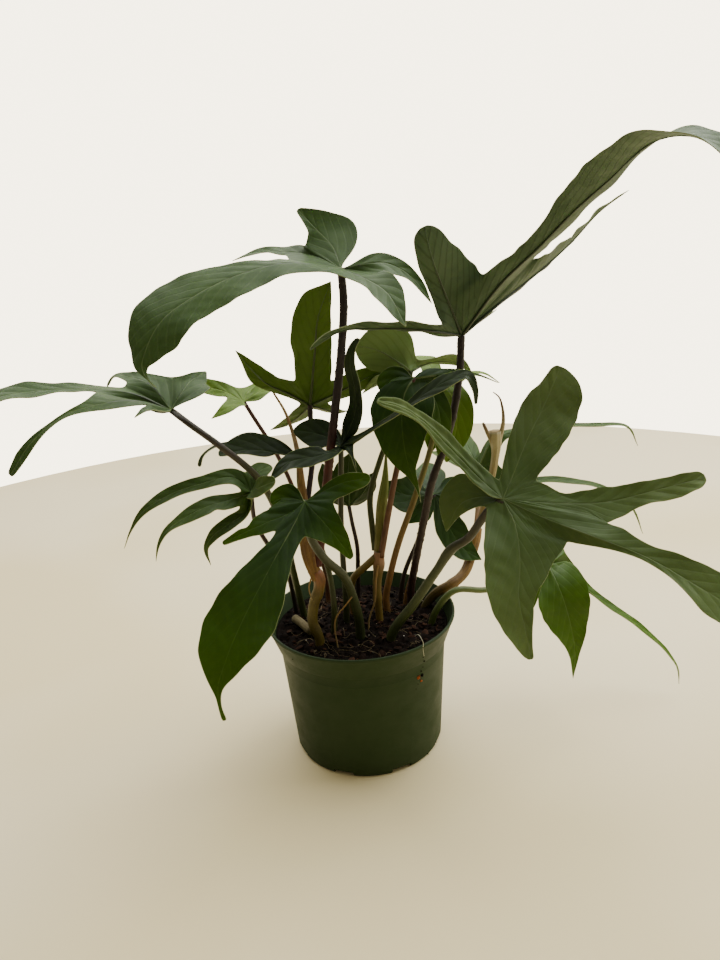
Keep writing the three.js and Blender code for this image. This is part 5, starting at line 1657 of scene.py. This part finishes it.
STALKS: dict[str, Stalk] = {
    "stalk_crown_left": Stalk(
        3.8, 3, WARTY_RED, Slot.PURPLE_STALK,
        [(317, 566, -27), (321, 540, -22), (325, 500, -17), (330, 455, -14), (334, 420, -12),
         (339, 376, -10), (342, 341, -10), (343.5, 300, -9), (341, 269, -10)], warts=0.16),
    "stalk_crown_right": Stalk(
        3.6, 3, WARTY, Slot.PURPLE_STALK,
        [(411, 590, 20), (416, 560, 16), (424, 520, 10), (433, 478, 6), (444, 448, 6),
         (455, 405, 8), (460, 369, 9), (461, 335, 10)], [(46, 20, 100)], warts=0.16),
    "stalk_far_left": Stalk(
        3.2, 2.4, OLIVE_PURPLE, Slot.OLIVE_STALK,
        [(302, 606, 18), (293, 570, 4), (285, 535, -18), (275, 507, -34), (256, 476, -50),
         (220, 446, -62), (188, 423, -60), (171, 410, -50)], [(-50, 20, 100)]),
    "stalk_upright": Stalk(
        2.6, 2.2, PURPLE, Slot.PURPLE_STALK,
        [(311, 573, -23), (307, 530, -14), (308, 500, 0), (312, 462, 16), (311, 430, 26),
         (310, 405, 30)], warts=0.1),
    "stalk_back_left": Stalk(
        2.4, 1.8, RED_BROWN, Slot.RED_STALK,
        [(326, 575, 48), (305, 520, 56), (285, 470, 62), (269, 441, 62), (256, 421, 60),
         (244, 402, 60)], [(-30, 44, 100)]),
    "stalk_centre_hanging": Stalk(
        2.8, 2.2, RED_BROWN, Slot.RED_STALK,
        [(381, 557, -4), (389, 510, -3), (396, 473, -2), (404, 440, -2), (410, 405, -4),
         (413, 378, -14)]),
    "stalk_centre_back": Stalk(
        3.2, 2.2, TAN, Slot.GOLDEN_STEM,
        [(386, 600, 16), (390, 576, 14), (398, 545, 14), (414, 500, 24), (430, 450, 36),
         (438, 410, 50), (438, 380, 60)], [(26, 18, 100)]),
    "stalk_front_right": Stalk(
        4.2, 3, OLIVE_PURPLE, Slot.OLIVE_STALK,
        [(393, 632, -36), (413, 605, -42), (437, 570, -52), (454, 547, -60), (466, 540, -64),
         (480, 522, -74), (490, 509, -80), (503, 499, -85)], [(20, -33, 100)],
        nodes=[(0.62, 0.7, 0.05)]),
    "stalk_low_right": Stalk(
        3, 2.4, FRESH, Slot.OLIVE_STALK,
        [(452, 592, -6), (484, 590, 4), (518, 584, 18), (538, 578, 28), (548, 565, 30)],
        [(58, -10, 100), (66, -10, 124)]),
    "stalk_back_right": Stalk(
        2.8, 2.2, TAN, Slot.GOLDEN_STEM,
        [(476, 533, 47), (478, 508, 66), (478, 490, 80), (478, 470, 90)]),
    "stalk_front_left": Stalk(
        4.2, 3, DARK_OLIVE, Slot.OLIVE_STALK,
        [(359, 620, -28), (353, 597, -32), (345, 578, -38), (324, 558, -50), (311, 538, -60),
         (306, 520, -68), (305, 502, -74)], [(-2, -26, 100)]),
    "stalk_centre_dark": Stalk(
        2.8, 2.2, DARK_OLIVE, Slot.OLIVE_STALK,
        [(346, 600, 2), (343, 560, 2), (341, 520, 0), (341, 480, -8), (341, 446, -10)],
        [(-14, 2, 100)]),
    "stalk_left_middle": Stalk(
        2.6, 2, OLIVE, Slot.OLIVE_STALK,
        [(334, 605, -18), (329, 572, -12), (316, 535, -2), (304, 510, 8), (299, 480, 13),
         (299, 456, 14)], [(-26, -14, 100)]),
    "stalk_left_low": Stalk(
        2.2, 1.8, PURPLE, Slot.PURPLE_STALK,
        [(292, 590, 26), (286, 568, 10), (267, 543, -14), (255, 521, -28), (251, 492, -38)],
        [(-58, 30, 100)]),
    "stalk_centre_round": Stalk(
        2.8, 2, OLIVE, Slot.OLIVE_STALK,
        [(375, 550, 3), (372, 525, 8), (370, 500, 14), (380, 460, 22), (396, 420, 22),
         (407, 392, 18), (411, 371, 16)]),
    "stalk_inner_right": Stalk(
        2.4, 1.8, PURPLE, Slot.PURPLE_STALK,
        [(404, 575, 38), (418, 540, 42), (428, 515, 46), (434, 494, 48)], [(36, 36, 100)]),
    "stalk_inner_left": Stalk(
        2.4, 1.8, PURPLE, Slot.PURPLE_STALK,
        [(358, 575, 48), (357, 545, 47), (352, 522, 46), (349, 506, 46)], [(-2, 48, 100)]),
    "stem_left": Stalk(
        3.9, 4.8, GOLD, Slot.GOLDEN_STEM,
        [(319, 637, -31), (313, 623, -30), (314, 604, -28), (319, 589, -27), (319, 578, -27),
         (315, 571, -27)], [(-37, -31, 100)],
        nodes=[(0.32, 0.5, 0.04), (0.72, 0.5, 0.03), (0.92, 0.7, 0.06)]),
    "stem_middle": Stalk(
        2.9, 4.4, TAN_GREEN, Slot.OLIVE_STALK,
        [(379, 612, -2), (377, 585, -2), (379, 562, -2), (379, 551, -2)], [(17, -2, 100)],
        nodes=[(0.45, 0.5, 0.05), (0.84, 1.1, 0.07)]),
    "stem_right": Stalk(
        3.8, 4.8, GOLD_FIBRE, Slot.GOLDEN_STEM,
        [(430, 599, 22), (440, 590, 18), (450, 585, 16), (464, 573, 24), (472, 552, 36),
         (477, 528, 48)], [(54, 22, 100)],
        nodes=[(0.45, 0.6, 0.04), (0.9, 0.6, 0.06)], ridges=11, ridge_height=0.05, sides=33),
    "shoot_left": Stalk(
        3.6, 0.5, PAPER, Slot.DRY_SHEATH,
        [(317, 579, -28), (311, 562, -27), (306, 535, -18), (303, 500, -8), (299, 462, 4),
         (293, 434, 27), (284, 410, 40), (273, 392, 46), (266, 380, 48)],
        nodes=[(0.14, 2.0, 0.09), (0.3, 1.2, 0.12)], ridges=7, ridge_height=0.1,
        flatness=1.15, sides=28),
    "sheath_middle": Stalk(
        3.9, 0.5, PALE, Slot.PALE_SHEATH,
        [(379, 557, -1), (381, 510, 4), (385, 480, 8), (386, 452, 10)],
        nodes=[(0.6, 1.5, 0.25)],
        ridges=6, ridge_height=0.1, flatness=1.15, sides=24),
    "small_shoot": Stalk(
        2.2, 0.6, PAPER, Slot.DRY_SHEATH, [(407, 590, 30), (411, 574, 30), (415, 558, 30)],
        [(40, 30, 100)], ridges=6, ridge_height=0.1, sides=24),
    "cut_stub": Stalk(
        3.6, 3.6, STRAW, Slot.STRAW_STUB, buried=[(-59, 8, 117), (-52, -4, 117.5), (-44, -18, 117)],
        ridges=9, ridge_height=0.04, sides=27),
    "root_left": Stalk(
        0.7, 0.4, ROOT, Slot.TAN_ROOT, [(311, 578, -33), (309, 588, -35), (312, 600, -35)],
        sides=10, warts=0.2),
    "root_middle": Stalk(
        0.9, 0.6, ROOT, Slot.TAN_ROOT,
        [(378, 565, -7), (376, 579, -11), (375, 600, -14), (369, 621, -14)],
        sunk=[(6, -13, 100)], sides=10, warts=0.2),
    "root_front": Stalk(
        0.6, 0.6, ROOT, Slot.TAN_ROOT,
        [(352, 597, -38), (345, 606, -40), (337, 616, -40), (337, 643, -40)],
        sunk=[(-19, -40, 100)], sides=10, warts=0.2),
}

# Branches that grow from a piece of STALKS and belong to it.
BRANCHES: dict[str, list[Stalk]] = {
    "stem_middle": [Stalk(
        3.4, 2.8, TAN_GREEN, Slot.OLIVE_STALK, [(376, 557, -2), (366, 566, 2), (355, 576, 8)],
        sunk=[(-6, 14, 100)])],
}

# The old cut-back shoot at the right stem: its body and its two horns.
HORNED_STUB = [
    Stalk(2.6, 3.6, CREAM, Slot.DRY_SHEATH,
          [(476, 535, 44), (487, 495, 53), (493, 470, 57), (496, 448, 56), (495, 431, 56)],
          ridges=8, ridge_height=0.06, sides=32, nodes=[(0.97, 2.2, 0.13)]),
    Stalk(2.4, 0.5, CREAM_HORN, Slot.DRY_SHEATH,
          [(499, 440, 56), (503, 424, 56), (502, 406, 56), (499, 397, 57), (493, 392, 58)],
          ridges=5, ridge_height=0.08, sides=20),
    Stalk(2.2, 1.2, CREAM_HORN, Slot.DRY_SHEATH,
          [(492, 442, 56), (487, 432, 54), (483, 423, 52)],
          ridges=5, ridge_height=0.08, sides=20),
]


def build_stalk(name: str, parts: Sequence[Stalk], leaf: Leaf | None) -> Piece:
    """Builds a stem, stalk, sheath or root from its rods.

    Args:
        name: the CAD node's name, which the piece stands for.
        parts: its rods, the main one first.
        leaf: the leaf that it carries, if any.

    Returns:
        The piece.
    """
    mesh = new_mesh()
    skins = list(dict.fromkeys(part.skin for part in parts))
    for part in parts:
        part.tube(skins.index(part.skin)).add_to(mesh)
    if leaf:
        trim(mesh, leaf)
    bmesh.ops.recalc_face_normals(mesh, faces=mesh.faces[:])
    piece = new_object(f"{name}_grown", mesh, [material_of(skin) for skin in skins])
    dress(piece, name)
    return piece


# ---- pot


@dataclass
class Pot:
    """The nursery pot: a tapering wall under a flared collar, on a notched foot.

    Its rim and height come from the CAD node; the rest are its own sizes in metres.
    """

    radius: float
    height: float
    collar_height: float = 22 * MM
    collar_radius: float = 75 * MM
    wall_top_radius: float = 73.2 * MM
    foot_radius: float = 66 * MM
    wall: float = 1.5 * MM
    lip: float = 1.9 * MM
    lip_depth: float = 2.2 * MM
    lip_step: float = 0.5 * MM
    foot_rounding: float = 2.5 * MM
    floor: float = 1.6 * MM
    pad_radius: float = 36 * MM
    channel_height: float = 4.6 * MM
    channel_slope: float = 3 * MM
    notches: int = 8
    notch_width: float = 18 * MM
    notch_height: float = 4.2 * MM
    notch_reach: float = 12 * MM
    hole_radius: float = 4.5 * MM
    hole_ring: float = 52 * MM
    bead_drop: float = 10 * MM
    bead: float = 0.12 * MM
    segments: int = 144
    rounding: float = 0.35 * MM
    bevelled_from: float = 25.0
    sharp_from: float = 30.0

    @property
    def collar_foot(self) -> float:
        """Height of the collar's lower edge."""
        return self.height - self.collar_height

    def wall_radius(self, height: float) -> float:
        """Outer radius of the wall at a height under the collar."""
        rise = (self.wall_top_radius - self.foot_radius) / self.collar_foot
        return self.foot_radius + rise * height

    def outer_radius(self, height: float) -> float:
        """Outer radius of the wall or the collar at a height.

        Args:
            height: in metres.

        Returns:
            The radius in metres.
        """
        if height < self.collar_foot:
            return self.wall_radius(height)
        share = (height - self.collar_foot) / self.collar_height
        return self.collar_radius + (self.radius - self.lip_step - self.collar_radius) * share

    def brim(self, height: float) -> float:
        """Inner radius of the collar at a height."""
        top, foot = self.radius - self.lip, self.collar_radius - self.wall
        return foot + (top - foot) * (height - self.collar_foot) / self.collar_height

    def profile(self) -> list[tuple[float, float]]:
        """Half section as radius and height, from the pad's middle round to the floor's.

        Returns:
            The corners in metres.
        """
        channel_top = self.channel_height + self.floor
        bead = self.collar_foot - self.bead_drop
        return [
            (0, 0),
            (self.pad_radius, 0),
            (self.pad_radius + self.channel_slope, self.channel_height),
            (self.wall_radius(self.channel_height) - self.wall, self.channel_height),
            (self.foot_radius - self.wall - self.foot_rounding / 2, 0),
            (self.foot_radius - self.foot_rounding / 2, 0),
            (self.wall_radius(self.foot_rounding), self.foot_rounding),
            (self.wall_radius(bead - 2 * self.bead), bead - 2 * self.bead),
            (self.wall_radius(bead) + self.bead, bead),
            (self.wall_radius(bead + 2 * self.bead), bead + 2 * self.bead),
            (self.wall_top_radius, self.collar_foot),
            (self.collar_radius, self.collar_foot),
            (self.radius - self.lip_step, self.height - self.lip_depth),
            (self.radius, self.height - self.lip_depth),
            (self.radius, self.height - self.lip_step),
            (self.radius - self.lip_step, self.height),
            (self.radius - self.lip, self.height),
            (self.collar_radius - self.wall, self.collar_foot + self.wall),
            (self.wall_top_radius - self.wall, self.collar_foot - self.wall),
            (self.wall_radius(channel_top) - self.wall, channel_top),
            (self.pad_radius + self.channel_slope - self.floor, channel_top),
            (self.pad_radius - self.floor, self.floor),
            (0, self.floor),
        ]

    def build(self) -> Piece:
        """Builds the pot and dresses it.

        Returns:
            The piece.
        """
        mesh = new_mesh()
        verts = [mesh.verts.new((radius, 0, height)) for radius, height in self.profile()]
        edges = [mesh.edges.new(pair) for pair in zip(verts, verts[1:])]
        bmesh.ops.spin(mesh, geom=[*verts, *edges], cent=(0, 0, 0), axis=(0, 0, 1),
                       angle=2 * math.pi, steps=self.segments, use_merge=True)
        bmesh.ops.remove_doubles(mesh, verts=mesh.verts[:], dist=MERGE)
        bmesh.ops.recalc_face_normals(mesh, faces=mesh.faces[:])
        sharp = [edge for edge in mesh.edges
                 if edge.is_manifold and edge.calc_face_angle() > math.radians(self.bevelled_from)]
        bmesh.ops.bevel(mesh, geom=sharp, offset=self.rounding, offset_type="OFFSET",
                        affect="EDGES", segments=2, profile=0.5, material=-1,
                        clamp_overlap=True)
        piece = new_object("pot_moulded", mesh, [material_of(MouldedPlastic())])
        cutter = new_object("cutter", self._cutter(), [])
        cut = piece.modifiers.new("drainage", "BOOLEAN")
        cut.operation = "DIFFERENCE"
        cut.solver = "EXACT"
        cut.object = cutter
        bake_modifiers(piece)
        bpy.data.objects.remove(cutter)
        piece.data.shade_smooth()
        piece.data.set_sharp_from_angle(angle=math.radians(self.sharp_from))
        dress(piece, "pot")
        return piece

    def _cutter(self) -> Mesh:
        """Blocks and rods that cut the foot's notches and the drain holes.

        Returns:
            Their mesh.
        """
        mesh = bmesh.new()
        for i in range(self.notches):
            turn = Matrix.Rotation((i + 0.5) / self.notches * 2 * math.pi, 4, "Z")
            size = Matrix.Diagonal(
                (self.notch_reach, self.notch_width, 2 * self.notch_height, 1))
            place = Matrix.Translation((self.foot_radius, 0, 0))
            bmesh.ops.create_cube(mesh, size=1, matrix=turn @ place @ size)
            hole = Matrix.Translation((self.hole_ring, 0, self.channel_height))
            bmesh.ops.create_cone(
                mesh, cap_ends=True, segments=24, radius1=self.hole_radius,
                radius2=self.hole_radius, depth=4 * self.channel_height, matrix=turn @ hole)
        return mesh


# ---- soil


CHUNK_TILT = 0.5
CHUNK_SPIN = 6.28
CHUNK_LUMPS = (0.7, 1.25)
CHUNK_TONES = (0.2, 1.3)


def add_chunk(mesh: Mesh, place: Vector, size: Place, rng: random.Random) -> None:
    """Adds a rough lump with a tone of its own.

    Args:
        mesh: a mesh with the pattern layers.
        place: its middle.
        size: its three half sizes in metres.
        rng: draws its turn, roughness and tone.
    """
    verts = bmesh.ops.create_icosphere(mesh, subdivisions=1, radius=1)["verts"]
    turn = Euler((rng.uniform(-CHUNK_TILT, CHUNK_TILT), rng.uniform(-CHUNK_TILT, CHUNK_TILT),
                  rng.uniform(0, CHUNK_SPIN)))
    matrix = turn.to_matrix()
    for vert in verts:
        lump = Vector(c * s * rng.uniform(*CHUNK_LUMPS) for c, s in zip(vert.co, size))
        vert.co = place + matrix @ lump
    pattern = mesh.loops.layers.uv[PATTERN]
    tone = rng.uniform(*CHUNK_TONES)
    for face in {face for vert in verts for face in vert.link_faces}:
        for loop in face.loops:
            loop[pattern].uv = (tone, 0)


@dataclass
class Soil:
    """The potting mix: a lumpy crust with bark, perlite and rootlets in it.

    Sizes are in metres, the level among them.
    """

    pot: Pot
    level: float = 111 * MM
    hump: float = 2.5 * MM
    lump_height: float = 1.1 * MM
    lump_length: float = 20 * MM
    lump_share: float = 0.6
    gap: float = 0.6 * MM
    rings: int = 60
    segments: int = 240
    crumb_height: float = 2.4 * MM
    crumb_length: float = 5 * MM
    skirt: float = 70 * MM
    bark_count: int = 300
    crumb_count: int = 900
    perlite_count: int = 40
    rootlet_count: int = 60
    rim_width: float = 6 * MM
    crust_tone: float = 0.8

    LUMP_WIDTHS = (0.45, 0.8)
    LUMP_HEIGHT = 0.6
    LUMP_LIFTS = (0.0, 0.6)
    ROOTLET_MARGIN = 12 * MM
    ROOTLET_PLACES = (4, 8)
    ROOTLET_LIFTS = (0.3, 2.6)
    ROOTLET_STRIDES = (3, 6)
    ROOTLET_RADII = (0.12, 0.24)
    ROOTLET_BEND = 0.9
    ROOTLET_RETURN = 0.93
    HANGING_RADIUS = 0.24 * MM
    HANGING_GAP = 0.5 * MM
    HALVINGS = 30

    def crust(self, x: float, y: float) -> float:
        """Height of the crust at a place.

        Args:
            x: to the right, in metres.
            y: back, in metres.

        Returns:
            The height in metres.
        """
        radius = math.hypot(x, y)
        brim = self.pot.brim(self.level)
        turn_x = x / self.lump_length * 2 * math.pi
        turn_y = y / self.lump_length * 2 * math.pi
        wave = math.sin(turn_x + 1) * math.cos(turn_y)
        wave += self.lump_share * math.sin(2 * turn_y + turn_x)
        crumbs = noise.fractal(Vector((x, y, 0)) / self.crumb_length, 0.8, 2.0, 4)
        inside = smooth(brim, brim - self.rim_width, radius)
        height = self.level + self.hump * math.cos(min(1.0, radius / brim) * math.pi / 2)
        return height + inside * (self.lump_height * wave + self.crumb_height * crumbs)

    def build(self) -> list[Piece]:
        """Builds the crust and what lies in it.

        Returns:
            The pieces.
        """
        mix = material_of(Crumbly("potting_mix_damp", "040302", "1c120b"))
        crust = new_object("soil_crust", self._crust_mesh(), [mix])
        dress(crust, "soil")
        bark = material_of(Crumbly("pine_bark_chipped", "0d0704", "40281a", 0.85, 1.6 * MM))
        perlite = material_of(Crumbly("perlite_expanded", "a9a496", "e8e4d8", 0.9, 0.5 * MM))
        loose = [
            self._scatter("soil_bark", bark, self.bark_count, (1.8, 5.6),
                          flatness=0.5, seed=3),
            self._scatter("soil_crumbs", mix, self.crumb_count, (0.8, 2.4),
                          flatness=0.85, seed=5),
            self._scatter("soil_perlite", perlite, self.perlite_count, (0.4, 1.0),
                          flatness=0.9, seed=7),
            self._rootlets(),
            self._stuck_crumbs(mix),
        ]
        return [crust, *loose]

    def _crust_mesh(self) -> Mesh:
        """The crust with a skirt down inside the pot and a flat underside.

        Returns:
            The mesh.
        """
        mesh = new_mesh()
        brim = self.pot.brim(self.level) - self.gap
        foot = self.level - self.skirt
        places = [(brim * i / self.rings, self.level) for i in range(self.rings + 1)]
        wall = self.pot.wall_radius(foot) - self.pot.wall - self.gap
        shoulder = self.pot.collar_foot - self.pot.wall
        top_wall = self.pot.wall_radius(shoulder) - self.pot.wall - self.gap
        places += [(top_wall, shoulder), (wall, foot), (0, foot)]
        verts = [mesh.verts.new((radius, 0, height)) for radius, height in places]
        edges = [mesh.edges.new(pair) for pair in zip(verts, verts[1:])]
        bmesh.ops.spin(mesh, geom=[*verts, *edges], cent=(0, 0, 0), axis=(0, 0, 1),
                       angle=2 * math.pi, steps=self.segments, use_merge=True)
        bmesh.ops.remove_doubles(mesh, verts=mesh.verts[:], dist=MERGE)
        for vert in mesh.verts:
            if vert.co.z > self.level - self.gap:
                vert.co.z = self.crust(vert.co.x, vert.co.y)
        bmesh.ops.recalc_face_normals(mesh, faces=mesh.faces[:])
        pattern = mesh.loops.layers.uv[PATTERN]
        for face in mesh.faces:
            for loop in face.loops:
                loop[pattern].uv = (self.crust_tone, 0)
        return mesh

    def _scatter(self, name: str, material: Material, count: int,
                 span: tuple[float, float], flatness: float, seed: int) -> Piece:
        """Scatters rough lumps over the crust.

        Args:
            name: the piece's name.
            material: its material.
            count: how many lumps.
            span: least and most half length in millimetres.
            flatness: height of a lump as a share of its length.
            seed: seeds the draw.

        Returns:
            The piece.
        """
        rng = random.Random(seed)
        mesh = new_mesh()
        reach = self.pot.brim(self.level) - span[1] * MM - self.gap
        for _ in range(count):
            angle, radius = rng.uniform(0, 2 * math.pi), reach * math.sqrt(rng.random())
            x, y = radius * math.cos(angle), radius * math.sin(angle)
            length = (span[0] + (span[1] - span[0]) * rng.random() ** 2) * MM
            size = (length, length * rng.uniform(*self.LUMP_WIDTHS),
                    length * flatness * self.LUMP_HEIGHT)
            lift = size[2] * rng.uniform(*self.LUMP_LIFTS)
            add_chunk(mesh, Vector((x, y, self.crust(x, y) + lift)), size, rng)
        piece = new_object(name, mesh, [material])
        for polygon in piece.data.polygons:
            polygon.use_smooth = False
        dress(piece)
        return piece

    def _rootlets(self) -> Piece:
        """Fine pale roots that lie on the crust, and one over the rim.

        Returns:
            The piece.
        """
        rng = random.Random(11)
        mesh = new_mesh()
        reach = self.pot.brim(self.level) - self.ROOTLET_MARGIN
        for _ in range(self.rootlet_count):
            angle, radius = rng.uniform(0, 2 * math.pi), reach * math.sqrt(rng.random())
            place = Vector((radius * math.cos(angle), radius * math.sin(angle), 0))
            heading = rng.uniform(0, 2 * math.pi)
            places = []
            for _ in range(rng.randint(*self.ROOTLET_PLACES)):
                lift = rng.uniform(*self.ROOTLET_LIFTS) * MM
                places.append(Vector((place.x, place.y, self.crust(place.x, place.y) + lift)))
                heading += rng.uniform(-self.ROOTLET_BEND, self.ROOTLET_BEND)
                stride = rng.uniform(*self.ROOTLET_STRIDES) * MM
                ahead = place + Vector((math.cos(heading), math.sin(heading), 0)) * stride
                place = ahead if ahead.length < reach else place * self.ROOTLET_RETURN
            thick = rng.uniform(*self.ROOTLET_RADII) * MM
            Tube(Rib(places), lambda u: thick * (1.1 - 0.7 * u), 6, 1.8 * MM).add_to(mesh)
        self._hanging_rootlet().add_to(mesh)
        piece = new_object("soil_rootlets", mesh,
                           [material_of(ROOTLET), material_of(WHITE_ROOTLET)])
        dress(piece)
        return piece

    def _on_pot(self, column: float, row: float, proud: float = 0.0) -> Vector:
        """The place on the pot's outside that is seen at a column and row.

        Args:
            column: column of the view.
            row: row of the view.
            proud: how far outside the wall, in metres.

        Returns:
            The place.
        """
        near, far = -self.pot.radius / MM, 0.0
        for _ in range(self.HALVINGS):
            middle = (near + far) / 2
            place = VIEW.seen((column, row, middle))
            outside = math.hypot(place.x, place.y) > self.pot.outer_radius(place.z) + proud
            near, far = (middle, far) if outside else (near, middle)
        return place

    def _hanging_rootlet(self) -> Tube:
        """The white rootlet that hangs over the rim on the right.

        Returns:
            The rod.
        """
        rim = [VIEW.seen((415, 636, -56)), VIEW.seen((419, 635, -64))]
        wall = [self._on_pot(column, row, self.HANGING_GAP)
                for column, row in ((423, 642), (423, 649), (424, 656))]
        return Tube(Rib([*rim, *wall]), lambda u: self.HANGING_RADIUS, 6, 1.5 * MM, 1)

    def _stuck_crumbs(self, mix: Material) -> Piece:
        """Crumbs of soil and a reddish flake that stick to the pot's wall.

        Args:
            mix: the crumbs' material.

        Returns:
            The piece.
        """
        rng = random.Random(13)
        mesh = new_mesh()
        crumbs = [(423, 657, 1.1), (424, 661, 1.3), (423, 667, 0.7), (421, 671, 1.0),
                  (422, 675, 1.9), (418, 684, 0.6), (416, 689, 0.5), (293, 659, 0.9),
                  (389, 650, 0.4), (352, 700, 0.3), (436, 742, 0.8), (428, 754, 0.7)]
        for column, row, half in crumbs:
            place = self._on_pot(column, row)
            add_chunk(mesh, place, (half * MM, half * 0.8 * MM, half * 0.8 * MM), rng)
        flake_from = len(mesh.faces)
        for column, row, half in ((418, 678, 2.0), (421, 681, 1.6), (419, 676, 1.3)):
            place = self._on_pot(column, row)
            add_chunk(mesh, place, (half * MM, half * 0.5 * MM, half * MM), rng)
        mesh.faces.ensure_lookup_table()
        for face in mesh.faces[flake_from:]:
            face.material_index = 1
        red_bark = material_of(Crumbly("pine_bark_red_flake", "4a2012", "a85a30", 0.85))
        piece = new_object("pot_stuck_crumbs", mesh, [mix, red_bark])
        dress(piece)
        return piece


# ---- the stage


@dataclass
class Studio:
    """A plain pale floor under soft light.

    The camera sees the sky brighter than it lights the plant, as a lit paper wall would
    look behind it.
    """

    floor_radius: float = 1.1
    floor_colour: str = "efe2ba"
    floor_shade: str = "e7d8a8"
    sky_colour: str = "fff3d6"
    sky_front: float = 0.16
    sky_back: float = 1.05
    bright_side: Place = (0.5, 0.87, 0.0)
    wall_strength: float = 6.0

    AIM = Vector((0, 0, 0.2))

    def build(self) -> None:
        """Makes the floor, the sky and the lamps."""
        mesh = new_mesh()
        bmesh.ops.create_circle(mesh, cap_ends=True, segments=96, radius=self.floor_radius)
        finish = Finish("paper_matt_floor", 0.9)
        tone = finish.add("TexNoise", finish.place, 2.0, 2.0)
        share = finish.add("MapRange", tone, 0.4, 0.6)
        colour = finish.add("Mix", share, linear(self.floor_colour),
                            linear(self.floor_shade), data_type="RGBA")
        floor = new_object("floor", mesh, [finish.set(colour)])
        self._sky()
        self._lamp("key", (1.0, 0.4, 1.5), size=1.5, watts=38)
        self._lamp("top", (-0.2, 0.9, 1.8), size=2.4, watts=46)

    def _sky(self) -> None:
        """Lights the plant from a sky that is bright behind it and dim in front of it."""
        world = bpy.data.worlds.new("studio_sky")
        world.use_nodes = True
        nodes, links = world.node_tree.nodes, world.node_tree.links
        sky = nodes["Background"]
        sky.inputs["Color"].default_value = linear(self.sky_colour)
        towards = nodes.new("ShaderNodeVectorMath")
        towards.operation = "DOT_PRODUCT"
        towards.inputs[1].default_value = self.bright_side
        links.new(nodes.new("ShaderNodeTexCoord").outputs["Generated"], towards.inputs[0])
        light = nodes.new("ShaderNodeMapRange")
        light.inputs["From Min"].default_value = -1.0
        light.inputs["To Min"].default_value = self.sky_front
        light.inputs["To Max"].default_value = self.sky_back
        links.new(towards.outputs["Value"], light.inputs["Value"])
        strength = nodes.new("ShaderNodeMapRange")
        strength.inputs["To Max"].default_value = self.wall_strength
        links.new(nodes.new("ShaderNodeLightPath").outputs["Is Camera Ray"],
                  strength.inputs["Value"])
        links.new(light.outputs["Result"], strength.inputs["To Min"])
        links.new(strength.outputs["Result"], sky.inputs["Strength"])
        bpy.context.scene.world = world

    def _lamp(self, name: str, place: Place, size: float, watts: float) -> None:
        """Adds a soft square lamp aimed at the plant.

        Args:
            name: the lamp's name.
            place: where it hangs.
            size: side of the square, in metres.
            watts: its power.
        """
        data = bpy.data.lights.new(name, "AREA")
        data.size = size
        data.energy = watts
        lamp = bpy.data.objects.new(name, data)
        aim = self.AIM - Vector(place)
        lamp.matrix_world = (Matrix.Translation(place)
                             @ aim.to_track_quat("-Z", "Y").to_matrix().to_4x4())
        bpy.context.scene.collection.objects.link(lamp)


def main() -> None:
    """Builds every piece in order and reports each."""
    logging.basicConfig(level=logging.INFO, format="%(name)s: %(message)s")
    VIEW.camera()
    Studio().build()
    _, pot_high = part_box("pot")
    pot = Pot(pot_high.x, pot_high.z)
    pot.build()
    Soil(pot).build()
    for name, stalk in STALKS.items():
        leaf = LEAVES.get(name.removeprefix("stalk_"))
        build_stalk(name, [stalk, *BRANCHES.get(name, [])], leaf)
    build_stalk("horned_stub", HORNED_STUB, None)
    for name, leaf in LEAVES.items():
        leaf.build(name)
    plain = [name for name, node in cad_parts.items() if not node.hide_render]
    log.info("CAD nodes still plain: %s", plain or "none")


if __name__ == "__main__":
    main()
